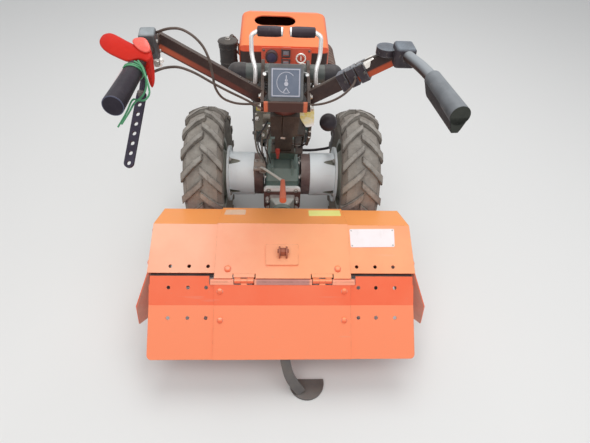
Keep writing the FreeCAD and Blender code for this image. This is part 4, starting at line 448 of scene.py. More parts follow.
# Nodes that differ from the rest of their slot
NODE_MATERIALS = {
    "handle_arm_left": paint("arm_paint_left", (0.040, 0.022, 0.020), (0.062, 0.036, 0.030), dust_and_sheen=0.20, wear=0.5,
                             wear_colour=(0.20, 0.12, 0.08), patch=20.0, zone=left_arm_band, gloss=0.18),
    "handle_arm_right": paint("arm_paint_right", (0.045, 0.030, 0.028), (0.075, 0.048, 0.042), dust_and_sheen=0.20, wear=0.5,
                              wear_colour=(0.20, 0.12, 0.08), patch=20.0, zone=right_arm_band, gloss=0.18),
    "handlebar_brace": paint("brace_paint", (0.55, 0.12, 0.055), (0.62, 0.16, 0.08), dust_and_sheen=0.15, wear=0.5, patch=20.0,
                             zone=brace_middle_shade, wear_colour=(0.12, 0.06, 0.04), gloss=0.18),
    # Painted shade: the fuel tank's red darkened to maroon where it lies under the engine hood.
    "fuel_tank": paint("tank_plastic", (0.085, 0.022, 0.018), (0.12, 0.032, 0.025), dust_and_sheen=0.15, wear=0.0, patch=14.0, gloss=0.18),
    "hub_left": paint("hub_left_paint", (0.120, 0.062, 0.055), (0.20, 0.130, 0.115), dust_and_sheen=0.3, patch=22.0, stains=0.2),
    "hub_right": paint("hub_right_paint", (0.150, 0.088, 0.085), (0.24, 0.170, 0.160), dust_and_sheen=0.3, patch=22.0, stains=0.2),
    "clutch_lever": paint("clutch_lever_paint", (0.022, 0.016, 0.030), (0.042, 0.034, 0.055), dust_and_sheen=0.12, wear=0.5,
                          film=(0.12, 0.11, 0.16), wear_colour=(0.16, 0.15, 0.20), roughness=(0.28, 0.42), patch=30.0, gloss=0.18),
    "grip_left": paint("left_grip_rubber", (0.016, 0.012, 0.018), (0.030, 0.022, 0.030), dust_and_sheen=0.12, wear=0.0,
                       film=(0.075, 0.070, 0.085), roughness=(0.34, 0.5), patch=20.0, gloss=0.18),
    "control_box": paint("switch_box", (0.060, 0.056, 0.056), (0.10, 0.098, 0.10), dust_and_sheen=0.95, wear=0.2,
                         wear_colour=(0.3, 0.3, 0.3), film=(0.36, 0.40, 0.42), patch=20.0),
    "throttle_bracket": paint("throttle_casting", (0.026, 0.018, 0.023), (0.050, 0.040, 0.048), dust_and_sheen=0.80, wear=0.5,
                              wear_colour=(0.45, 0.45, 0.45), film=(0.26, 0.31, 0.36), patch=40.0, bump=0.35),
    # The right grip's pale film on top is painted sheen along the glossy grip, with some dust.
    "grip_right": paint("right_grip_rubber", (0.085, 0.090, 0.098), (0.13, 0.135, 0.145), dust_and_sheen=0.7, wear=0.0,
                        film=(0.26, 0.28, 0.30), roughness=(0.30, 0.45), patch=20.0),
    "console": paint("console_case", (0.085, 0.085, 0.088), (0.13, 0.13, 0.13), dust_and_sheen=0.35, wear=0.5,
                     wear_colour=(0.30, 0.30, 0.30), film=(0.30, 0.28, 0.27), patch=24.0),
    "control_cables": paint("cable_sheath", (0.060, 0.040, 0.032), (0.12, 0.085, 0.070), dust_and_sheen=0.35, wear=0.0,
                            film=(0.25, 0.19, 0.16), roughness=(0.40, 0.6), patch=30.0),
    "gear_lever": paint("gear_lever_paint", (0.018, 0.012, 0.015), (0.030, 0.024, 0.030), dust_and_sheen=0.06, wear=0.4,
                        wear_colour=(0.2, 0.14, 0.1), roughness=(0.30, 0.45), patch=20.0, gloss=0.18),
}


def dress_nodes():
    slots = {row["node"]: row["material_slot"] for row in frame["record"]["subparts"]}
    for name, node in frame["nodes"].items():
        for slot in node.material_slots:
            slot.material = NODE_MATERIALS.get(name) or MATERIALS[slots[name]]


dress_nodes()


# Forms of the added pieces

def unit(vector):
    return Vector(vector).normalized()


def across(direction):
    """Two unit vectors square to a direction and to each other."""
    helper = UP if abs(direction.dot(UP)) < 0.9 else RIGHT
    first = direction.cross(helper).normalized()
    return first, direction.cross(first).normalized()


class Form:
    """Gathers the faces of one piece and makes it, riding on a body."""

    def __init__(self):
        self.vertices = []
        self.faces = []

    def add(self, points, faces):
        start = len(self.vertices)
        self.vertices += [at(*point) for point in points]
        self.faces += [tuple(start + number for number in face) for face in faces]

    def turned(self, base, direction, profile, steps=20):
        """A profile of (distance along, radius) turned about a direction; it is closed at both ends."""
        base, direction = Vector(base), unit(direction)
        first, second = across(direction)
        points = []
        faces = []
        for along, radius in profile:
            for number in range(steps):
                turn = 2.0 * math.pi * number / steps
                points.append(base + direction * along + (first * math.cos(turn) + second * math.sin(turn)) * radius)
        for row in range(len(profile) - 1):
            for number in range(steps):
                after = (number + 1) % steps
                faces.append((row * steps + number, row * steps + after, (row + 1) * steps + after,
                              (row + 1) * steps + number))
        last = (len(profile) - 1) * steps
        faces.append(tuple(reversed(range(steps))))
        faces.append(tuple(last + number for number in range(steps)))
        self.add(points, faces)

    def disc(self, base, direction, radius, height, steps=24, chamfer=0.25):
        cut = chamfer * height
        self.turned(base, direction, [(-0.5, radius), (height - cut, radius), (height, radius - cut)], steps)

    def plate(self, outline, depth):
        """A flat outline pushed out by a vector."""
        count = len(outline)
        points = [Vector(point) for point in outline] + [Vector(point) + Vector(depth) for point in outline]
        faces = [tuple(range(count)), tuple(reversed(range(count, 2 * count)))]
        for number in range(count):
            after = (number + 1) % count
            faces.append((after, number, number + count, after + count))
        self.add(points, faces)

    def block(self, middle, size, turn=None):
        """A box with small bevels, turned by a matrix about its middle."""
        half = [number / 2.0 for number in size]
        cut = min(half) * 0.22
        rows = []
        for level, inset in ((-half[2], cut), (-half[2] + cut, 0.0), (half[2] - cut, 0.0), (half[2], cut)):
            wide, long = half[0] - inset, half[1] - inset
            rows.append([(wide - cut, long, level), (-wide + cut, long, level), (-wide, long - cut, level),
                         (-wide, -long + cut, level), (-wide + cut, -long, level), (wide - cut, -long, level),
                         (wide, -long + cut, level), (wide, long - cut, level)])
        points = []
        for row in rows:
            for point in row:
                spot = Vector(point)
                points.append(Vector(middle) + (turn @ spot if turn else spot))
        faces = [tuple(reversed(range(8))), tuple(range(24, 32))]
        for row in range(3):
            for number in range(8):
                after = (number + 1) % 8
                faces.append((row * 8 + number, row * 8 + after, (row + 1) * 8 + after, (row + 1) * 8 + number))
        self.add(points, faces)

    def pad(self, outline, normal, thickness, rim):
        """A plate with rounded edges from a smooth closed outline."""
        normal = unit(normal)
        spots = smooth_route(outline, 4, True)
        count = len(spots)
        middle = sum(spots, Vector()) / count
        spots = [spot - normal * (spot - middle).dot(normal) for spot in spots]
        area = sum((spots[number - 1] - middle).cross(spots[number] - middle).dot(normal) for number in range(count))
        side = 1.0 if area > 0.0 else -1.0
        points = []
        for level, inset in ((-0.5, rim), (-0.28, 0.0), (0.28, 0.0), (0.5, rim)):
            for number, spot in enumerate(spots):
                heading = (spots[(number + 1) % count] - spots[number - 1]).normalized()
                points.append(spot + normal * (level * thickness) + normal.cross(heading) * (side * inset))
        faces = [tuple(reversed(range(count))), tuple(range(3 * count, 4 * count))]
        for row in range(3):
            for number in range(count):
                after = (number + 1) % count
                faces.append((row * count + number, row * count + after, (row + 1) * count + after,
                              (row + 1) * count + number))
        self.add(points, faces)

    def tube(self, route, radius, steps=10, bend=4, closed=False):
        """A round bar along a route, with its corners rounded."""
        spots = smooth_route(route, bend, closed)
        points = []
        faces = []
        first = None
        count = len(spots)
        for number, spot in enumerate(spots):
            before = spots[number - 1] if number or closed else spot
            after = spots[(number + 1) % count] if number < count - 1 or closed else spot
            heading = (after - before).normalized()
            if first is None:
                first = across(heading)[0]
            first = (first - heading * first.dot(heading)).normalized()
            second = heading.cross(first)
            for step in range(steps):
                turn = 2.0 * math.pi * step / steps
                points.append(spot + (first * math.cos(turn) + second * math.sin(turn)) * radius)
        rings = count if closed else count - 1
        for ring in range(rings):
            other = (ring + 1) % count
            for step in range(steps):
                after = (step + 1) % steps
                faces.append((ring * steps + step, ring * steps + after, other * steps + after, other * steps + step))
        if not closed:
            faces.append(tuple(reversed(range(steps))))
            faces.append(tuple((count - 1) * steps + step for step in range(steps)))
        self.add(points, faces)

    def make(self, name, body, material, sharp=35.0):
        mesh = bpy.data.meshes.new(name)
        mesh.from_pydata(self.vertices, [], self.faces)
        mesh.validate()
        mesh.polygons.foreach_set("use_smooth", [True] * len(mesh.polygons))
        mesh.set_sharp_from_angle(angle=math.radians(sharp))
        mesh.materials.append(material)
        mesh.update()
        piece = bpy.data.objects.new(name, mesh)
        bpy.context.scene.collection.objects.link(piece)
        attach(piece, body)
        return piece


def smooth_route(route, bend, closed=False):
    """The route's points with each corner replaced by a few points of a curve."""
    spots = [Vector(point) for point in route]
    count = len(spots)
    smooth = []
    for number, spot in enumerate(spots):
        if not closed and number in (0, count - 1):
            smooth.append(spot)
            continue
        start = spot.lerp(spots[number - 1], 0.45)
        end = spot.lerp(spots[(number + 1) % count], 0.45)
        for step in range(bend + 1):
            share = step / bend
            smooth.append(start.lerp(spot, share).lerp(spot.lerp(end, share), share))
    return smooth


def hex_bolt(form, place, direction, size):
    """A hexagon head with its washer; size is the head's corner radius."""
    direction = unit(direction)
    form.turned(place, direction, [(-0.5, 1.3 * size), (0.2 * size, 1.3 * size), (0.26 * size, 1.2 * size)], 18)
    base = Vector(place) + direction * (0.24 * size)
    form.turned(base, direction, [(0.0, size), (0.62 * size, size), (0.76 * size, 0.84 * size)], 6)


def nut(form, place, direction, size):
    """A hexagon nut on its washer with the stud's end."""
    hex_bolt(form, place, direction, size)
    stud = Vector(place) + unit(direction) * (0.9 * size)
    form.turned(stud, direction, [(0.0, 0.55 * size), (0.5 * size, 0.55 * size), (0.6 * size, 0.44 * size)], 12)


def dome_bolt(form, place, direction, size):
    """A round-headed bolt."""
    form.turned(place, direction, [(-0.5, size), (0.12 * size, size), (0.30 * size, 0.90 * size),
                                   (0.46 * size, 0.66 * size), (0.54 * size, 0.34 * size), (0.56 * size, 0.05)], 20)


def socket_screw(form, place, direction, size):
    """A round head with a sunk middle."""
    form.turned(place, direction, [(-0.5, size), (0.75 * size, size), (0.9 * size, 0.88 * size),
                                   (0.9 * size, 0.55 * size), (0.45 * size, 0.50 * size)], 16)


def on_sheet(slope, x, y, lift=0.0):
    """The point of a sloping sheet's upper face at x and y, lifted along its normal."""
    base, normal = slope
    z = base.z - normal.y * (y - base.y) / normal.z
    return Vector((x, y, z)) + normal * lift


def rounded_outline(corners, radius, steps=4):
    """The corners of a flat outline, each replaced by a small curve."""
    spots = [Vector(corner) for corner in corners]
    count = len(spots)
    outline = []
    for number, spot in enumerate(spots):
        back = spots[number - 1] - spot
        on = spots[(number + 1) % count] - spot
        start = spot + back.normalized() * min(radius, back.length * 0.45)
        end = spot + on.normalized() * min(radius, on.length * 0.45)
        for step in range(steps + 1):
            share = step / steps
            outline.append(start.lerp(spot, share).lerp(spot.lerp(end, share), share))
    return outline


def sheet_label(name, body, slope, corners, lift, thickness, material, radius=4.0):
    """A blank label lying on a sheet, from its corners as (x, y)."""
    form = Form()
    outline = [on_sheet(slope, x, y, lift + 0.15) for x, y in corners]
    form.plate(rounded_outline(outline, radius), slope[1] * thickness)
    return form.make(name, body, material)


# Materials of the added pieces

ZINC = rough_metal("zinc", (0.52, 0.50, 0.47), (0.36, 0.33, 0.30), stain=0.5)
DARK_BOLT = rough_metal("dark_bolt", (0.12, 0.105, 0.10), (0.20, 0.18, 0.165), metallic=0.6, stain=0.5)
BRIGHT = rough_metal("bright_metal", (0.80, 0.79, 0.77), (0.68, 0.67, 0.64), roughness=(0.16, 0.3), stain=0.1)
CLAMP_TOP = paint("clamp_top", (0.10, 0.095, 0.105), (0.36, 0.36, 0.38), dust_and_sheen=0.5, wear=0.4, patch=60.0,
                  film=(0.42, 0.43, 0.45), wear_colour=(0.5, 0.5, 0.5))
PINK_RED = paint("pink_red", (0.84, 0.11, 0.085), (0.90, 0.16, 0.12), dust_and_sheen=0.1, wear=0.0, film=(0.95, 0.30, 0.24),
                 roughness=(0.24, 0.36), patch=50.0)
OLIVE_END = paint("olive_end", (0.032, 0.035, 0.030), (0.045, 0.048, 0.040), dust_and_sheen=0.05, wear=0.0, patch=40.0, gloss=0.18)
DARK_END = paint("dark_end", (0.022, 0.017, 0.026), (0.032, 0.026, 0.036), dust_and_sheen=0.05, wear=0.0, patch=40.0, gloss=0.18)
GRIP_RIM = paint("grip_rim", (0.075, 0.080, 0.125), (0.10, 0.105, 0.16), dust_and_sheen=0.1, wear=0.0, patch=40.0)
PALE_CORD = paint("pale_cord_fibre", (0.50, 0.40, 0.41), (0.58, 0.50, 0.50), dust_and_sheen=0.1, wear=0.0, patch=80.0)
SLEEVE = paint("lever_sleeve", (0.032, 0.020, 0.026), (0.050, 0.036, 0.044), dust_and_sheen=0.35, wear=0.0, patch=30.0,
               film=(0.13, 0.12, 0.15), roughness=(0.36, 0.5), gloss=0.18)
RING_METAL = rough_metal("ring_metal", (0.95, 0.90, 0.84), (0.88, 0.82, 0.76), roughness=(0.2, 0.3), metallic=0.4,
                         stain=0.0)
PAINTED_BOLT = tiller_paint("painted_bolt", 0.9)
# Painted highlight: the flap's rolled edge painted pale pink under a paler film; its middle carries painted shade.
FLAP_EDGE_PAINTED_LIGHT = paint("flap_edge_paint", (0.95, 0.30, 0.17), (0.95, 0.36, 0.22), dust_and_sheen=0.3, film=(0.97, 0.52, 0.38), wear=0.3,
                  zone=edge_middle_shade)
LUG_PAINT = paint("lug_paint", (0.33, 0.085, 0.045), (0.46, 0.13, 0.07), dust_and_sheen=0.15, wear=0.6, patch=40.0,
                  wear_colour=(0.14, 0.05, 0.03))
PALE_LABEL = paint("pale_label", (0.94, 0.62, 0.42), (0.92, 0.57, 0.37), dust_and_sheen=0.15, wear=0.0, roughness=(0.3, 0.45),
                   patch=30.0, stains=0.15)
YELLOW_LABEL = paint("yellow_label", (0.97, 0.93, 0.28), (0.95, 0.90, 0.26), dust_and_sheen=0.05, wear=0.0,
                     roughness=(0.28, 0.42), patch=30.0, stains=0.12)
WHITE_LABEL = paint("white_label", (0.93, 0.85, 0.86), (0.90, 0.81, 0.81), dust_and_sheen=0.08, wear=0.2,
                    wear_colour=(0.5, 0.4, 0.36), roughness=(0.26, 0.4), patch=20.0, stains=0.15)
SLATE = paint("slate_plate", (0.125, 0.150, 0.205), (0.155, 0.178, 0.230), dust_and_sheen=0.18, wear=0.0, patch=40.0,
              film=(0.30, 0.30, 0.32), roughness=(0.3, 0.45))
GREY_LINE = paint("grey_line", (0.55, 0.54, 0.60), (0.48, 0.48, 0.54), dust_and_sheen=0.1, wear=0.0, patch=60.0)
SWITCH_FRAME = paint("switch_frame", (0.070, 0.050, 0.052), (0.10, 0.075, 0.075), dust_and_sheen=0.1, wear=0.2, patch=40.0)
SWITCH_FACE = paint("switch_face", (0.22, 0.20, 0.23), (0.30, 0.28, 0.31), dust_and_sheen=0.15, wear=0.0, patch=60.0)
GAUGE_RIM = paint("gauge_rim", (0.048, 0.026, 0.030), (0.068, 0.040, 0.042), dust_and_sheen=0.1, wear=0.0, patch=50.0)
GAUGE_FACE = paint("gauge_face", (0.055, 0.045, 0.085), (0.080, 0.068, 0.115), dust_and_sheen=0.1, wear=0.0, patch=50.0,
                   roughness=(0.40, 0.50), gloss=0.18)
RED_KNOB = paint("red_knob", (0.36, 0.035, 0.030), (0.48, 0.07, 0.05), dust_and_sheen=0.2, wear=0.3, patch=50.0,
                 wear_colour=(0.6, 0.3, 0.2), roughness=(0.3, 0.45))
BEIGE_STEEL = paint("beige_steel", (0.30, 0.235, 0.20), (0.22, 0.165, 0.14), dust_and_sheen=0.4, wear=0.5, patch=24.0,
                    stains=0.4)
OLIVE_STEEL = paint("olive_steel", (0.115, 0.105, 0.082), (0.16, 0.145, 0.115), dust_and_sheen=0.3, wear=0.5, patch=24.0,
                    stains=0.3)
DARK_PART = paint("dark_part", (0.045, 0.036, 0.034), (0.08, 0.064, 0.058), dust_and_sheen=0.3, wear=0.5,
                  wear_colour=(0.26, 0.2, 0.16), patch=30.0)
YELLOW_PLASTIC = paint("yellow_plastic", (0.42, 0.38, 0.06), (0.52, 0.47, 0.10), dust_and_sheen=0.3, wear=0.0, patch=40.0)
TWINE = paint("twine", (0.055, 0.27, 0.125), (0.13, 0.38, 0.20), dust_and_sheen=0.1, wear=0.0, patch=80.0, bump=0.5,
              roughness=(0.7, 0.9))
RED_PAINT = paint("red_paint", (0.42, 0.045, 0.030), (0.52, 0.09, 0.05), dust_and_sheen=0.2, wear=0.4, patch=30.0)


def guard_highlight(shader):
    """A painted highlight: white over the guard's yellow, from its middle to its lower end."""
    low = shader.ramp(shader.math("ADD", shader.along("Z"), shader.math("MULTIPLY", shader.along("X"), -0.4)), 0.630, 0.606)
    middle = shader.times(shader.ramp(shader.noise(60.0, 4.0, 0.7), 0.45, 0.62), 0.6)
    return [(shader.math("MAXIMUM", low, middle, True), (0.97, 0.95, 0.93))]


YELLOW_GUARD = paint("yellow_guard", (0.96, 0.74, 0.17), (0.97, 0.84, 0.28), dust_and_sheen=0.0, wear=0.3, patch=30.0,
                     wear_colour=(0.6, 0.5, 0.4), zone=guard_highlight, roughness=(0.3, 0.5))


# Tiller hood and flap: bolts and blank labels

def hood_pieces():
    form = Form()
    for x, y in ((-164.0, -535.5), (164.0, -534.5)):
        dome_bolt(form, on_sheet(HOOD_MAIN, x, y, SHEET), HOOD_MAIN[1], 10.5)
    form.make("hood_bolts", "tractor_frame", PAINTED_BOLT)
    form = Form()
    for slope, x, y in ((FLAP_UPPER, -185.0, -587.5), (FLAP_UPPER, 182.5, -587.0), (FLAP_LOWER, -183.5, -650.4),
                        (FLAP_LOWER, 182.2, -650.8)):
        dome_bolt(form, on_sheet(slope, x, y, SHEET), slope[1], 9.5)
    form.make("flap_bolts", "flap", PAINTED_BOLT)
    sheet_label("label_pale", "tractor_frame", HOOD_FRONT, [(-192.0, -329.0), (-190.0, -283.0), (-124.0, -281.0),
                                                            (-123.0, -327.0)], SHEET, 0.5, PALE_LABEL)
    sheet_label("label_yellow", "tractor_frame", HOOD_FRONT, [(86.0, -334.0), (88.0, -282.0), (196.0, -279.0),
                                                              (193.0, -331.0)], SHEET, 0.5, YELLOW_LABEL)
    sheet_label("plate_white", "tractor_frame", HOOD_MAIN, [(209.0, -468.0), (208.0, -411.0), (350.0, -409.0),
                                                            (346.0, -466.0)], 0.0, 1.2, WHITE_LABEL, 5.0)
    form = Form()
    for x, y in ((214.0, -463.0), (213.5, -416.0), (344.0, -414.0), (341.0, -461.0)):
        dome_bolt(form, on_sheet(HOOD_MAIN, x, y, 1.2), HOOD_MAIN[1], 2.6)
    form.make("plate_rivets", "tractor_frame", ZINC)
    form = Form()
    for side in (-1, 1):
        for y, z in ((-300.0, 296.0), (-398.0, 330.0), (-500.0, 296.0)):
            hex_bolt(form, (side * 400.0, y, z), (side, 0, 0), 8.0)
    form.make("shield_bolts", "tractor_frame", PAINTED_BOLT)
    skid_plate()
    flap_edge()


def skid_plate():
    """The plate on the hood with the two-plate lug that carries the depth skid."""
    form = Form()
    corners = [on_sheet(HOOD_MAIN, x, y, SHEET) for x, y in ((-52.8, -462.9), (46.9, -462.2), (46.0, -524.6),
                                                             (-51.7, -525.0))]
    form.plate(rounded_outline(corners, 4.0), HOOD_MAIN[1] * 5.0)
    plate = form.make("skid_plate", "tractor_frame", MATERIALS["orange_paint"])
    form = Form()
    for x in (-13.0, 8.0):
        outline = []
        for y, lift in ((-508.0, 8.0), (-504.0, 25.0), (-493.0, 33.0), (-483.0, 33.0), (-474.0, 25.0), (-472.0, 8.0)):
            outline.append(on_sheet(HOOD_MAIN, x, y, lift))
        form.plate(rounded_outline(outline, 7.0), (5.0, 0.0, 0.0))
    form.block(on_sheet(HOOD_MAIN, 0.0, -489.0, 18.0), (16.0, 15.0, 22.0))
    pin = on_sheet(HOOD_MAIN, -17.0, -488.0, 22.0)
    form.turned(pin, RIGHT, [(0.0, 5.0), (1.0, 6.0), (33.0, 6.0), (34.0, 5.0)], 20)
    lug = form.make("skid_lug", "tractor_frame", LUG_PAINT)
    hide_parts("skid_bracket")


def flap_edge():
    """The flap's rolled front edge, the hinge leaves in the hood's notches and, beside them, black strips under the
    hood's edge that are painted shade in the gap.
    """
    form = Form()
    for start, end in ((-214.0, -145.5), (-84.5, 86.5), (147.5, 214.0)):
        form.turned((start, -566.0, 291.0), RIGHT, [(0.0, 6.0), (0.6, 6.5), (end - start - 0.6, 6.5), (end - start, 6.0)], 28)
        outline = [(start, -570.2, 295.6), (start, -577.6, 287.9), (start, -575.6, 284.6), (start, -568.0, 286.0)]
        form.plate(outline, (end - start, 0.0, 0.0))
    form.make("flap_edge", "flap", FLAP_EDGE_PAINTED_LIGHT)
    form = Form()
    for middle in (-115.0, 117.0):
        corners = [on_sheet(HOOD_MAIN, middle + x, y, 0.3) for x, y in ((-31.0, -548.0), (31.0, -548.0), (31.0, -559.5),
                                                                        (-31.0, -559.5))]
        form.plate(corners, HOOD_MAIN[1] * 3.4)
    form.make("hinge_leaves", "tractor_frame", MATERIALS["orange_paint"])
    form = Form()
    # Painted shade: black strips under the hood's edge darken the gap beside the hinges.
    for start in (-390.0, 206.0):
        form.plate([(start, -557.5, 299.5), (start, -546.0, 297.2), (start, -534.0, 291.0), (start, -534.0, 289.2),
                    (start, -546.0, 295.4), (start, -557.5, 297.0)], (184.0, 0.0, 0.0))
    form.make("flap_gap_shade", "flap", MATERIALS["black_rubber"])


# Wheels: nuts, pocket bolts, hub bolts, caps and valves

def wheel_pieces():
    for side, name in ((-1, "left"), (1, "right")):
        body = "wheel_" + name
        form = Form()
        for turn in (62.0, 152.0, 242.0, 332.0):
            spot = around(side * 200.0, 91.8, turn + DRUM_TURN)
            hex_bolt(form, spot, (-side, 0, 0), 8.0)
        for number in range(6):
            nut(form, around(side * 213.0, 56.0, 60.0 * number + 15.0), (side, 0, 0), 9.5)
            hex_bolt(form, around(side * 72.0, 62.0, 60.0 * number), (-side, 0, 0), 8.0)
        form.make("wheel_bolts_" + name, body, ZINC)
        form = Form()
        form.turned((side * 210.0, 0, AXLE_HEIGHT), (side, 0, 0), [(-6.0, 32.0), (3.5, 34.0), (6.0, 32.0), (16.0, 26.0),
                                                                  (20.0, 20.0), (21.0, 8.0), (21.2, 0.3)], 36)
        form.make("hub_cap_" + name, body, DARK_PART)
        form = Form()
        base = around(side * 322.0, 116.0, 100.0)
        form.tube([around(side * 300.0, 112.0, 100.0), base, around(side * 342.0, 108.0, 100.0)], 3.2, 10)
        form.turned(around(side * 342.0, 108.0, 100.0), (side, 0, 0), [(-1.0, 4.4), (11.0, 4.4), (13.0, 3.4)], 12)
        form.make("valve_" + name, body, MATERIALS["black_rubber"])


def turned_drums():
    """The drums, turned about the axle so that their pockets stand where the photograph shows them."""
    middle = at(0.0, 0.0, AXLE_HEIGHT)
    swing = Matrix.Translation(middle) @ Matrix.Rotation(math.radians(DRUM_TURN), 4, "X") @ Matrix.Translation(-middle)
    for name in ("left", "right"):
        mesh = frame["nodes"]["drum_" + name].data.copy()
        mesh.transform(swing)
        piece = bpy.data.objects.new("turned_drum_" + name, mesh)
        bpy.context.scene.collection.objects.link(piece)
        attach(piece, "wheel_" + name)
        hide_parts("drum_" + name)


def around(x, radius, turn):
    """A place on a circle about the wheels' axis."""
    angle = math.radians(turn)
    return Vector((x, -radius * math.sin(angle), AXLE_HEIGHT + radius * math.cos(angle)))


# Gearbox, coupling and tiller case

def gearbox_pieces():
    form = Form()
    for number in range(8):
        angle = math.radians(45.0 * number + 22.5)
        hex_bolt(form, (106.5 * math.cos(angle), 184.0, 372.0 + 106.5 * math.sin(angle)), (0, -1, 0), 5.0)
    for side in (-1, 1):
        for y, z in ((-104.0, 206.0), (-104.0, 318.0), (-40.0, 336.0), (70.0, 338.0), (128.0, 372.0), (128.0, 262.0),
                     (60.0, 196.0), (-60.0, 190.0)):
            hex_bolt(form, (side * 60.0, y, z), (side, 0, 0), 6.0)
    for x in (-40.0, 0.0, 40.0):
        if x:
            hex_bolt(form, (x * 1.25, -142.0, 284.0), (0, -1, 0), 6.5)
    for x in (-50.0, 50.0):
        hex_bolt(form, (x, -142.0, 204.0), (0, -1, 0), 6.5)
    form.make("gearbox_bolts", "tractor_frame", ZINC)
    form = Form()
    for side in (-1, 1):
        for z in (246.0, 200.0):
            nut(form, (side * 54.0, -160.0, z), (0, -1, 0), 6.0)
    form.make("coupling_bolts", "tractor_frame", ZINC)
    form = Form()
    form.disc((30.0, 84.0, 398.0), UP, 15.0, 14.0, 6)
    form.disc((60.0, -84.0, 214.0), RIGHT, 10.0, 7.0, 6)
    form.disc((-26.0, 96.0, 398.0), UP, 9.0, 6.0, 20)
    form.disc((-26.0, 96.0, 404.0), UP, 5.0, 16.0, 14)
    form.make("gearbox_plugs", "tractor_frame", DARK_BOLT)
    form = Form()
    for side in (-1, 1):
        for angle in range(0, 360, 60):
            turn = math.radians(angle + 30.0)
            hex_bolt(form, (side * 30.0, -417.0 + 48.0 * math.cos(turn), 168.0 + 48.0 * math.sin(turn)), (side, 0, 0), 5.0)
    form.make("gear_case_bolts", "tractor_frame", DARK_BOLT)
    form = Form()
    for number in range(4):
        hex_bolt(form, (-36.0 + 24.0 * number, -18.0, 439.0), UP, 4.5)
    for side in (-1, 1):
        hex_bolt(form, (side * 34.0, -70.0, 441.0), UP, 6.0)
    form.make("column_foot_bolts", "tractor_frame", DARK_BOLT)


# Engine: switches, key, cap, gauge, starter, plug, hoses and screws

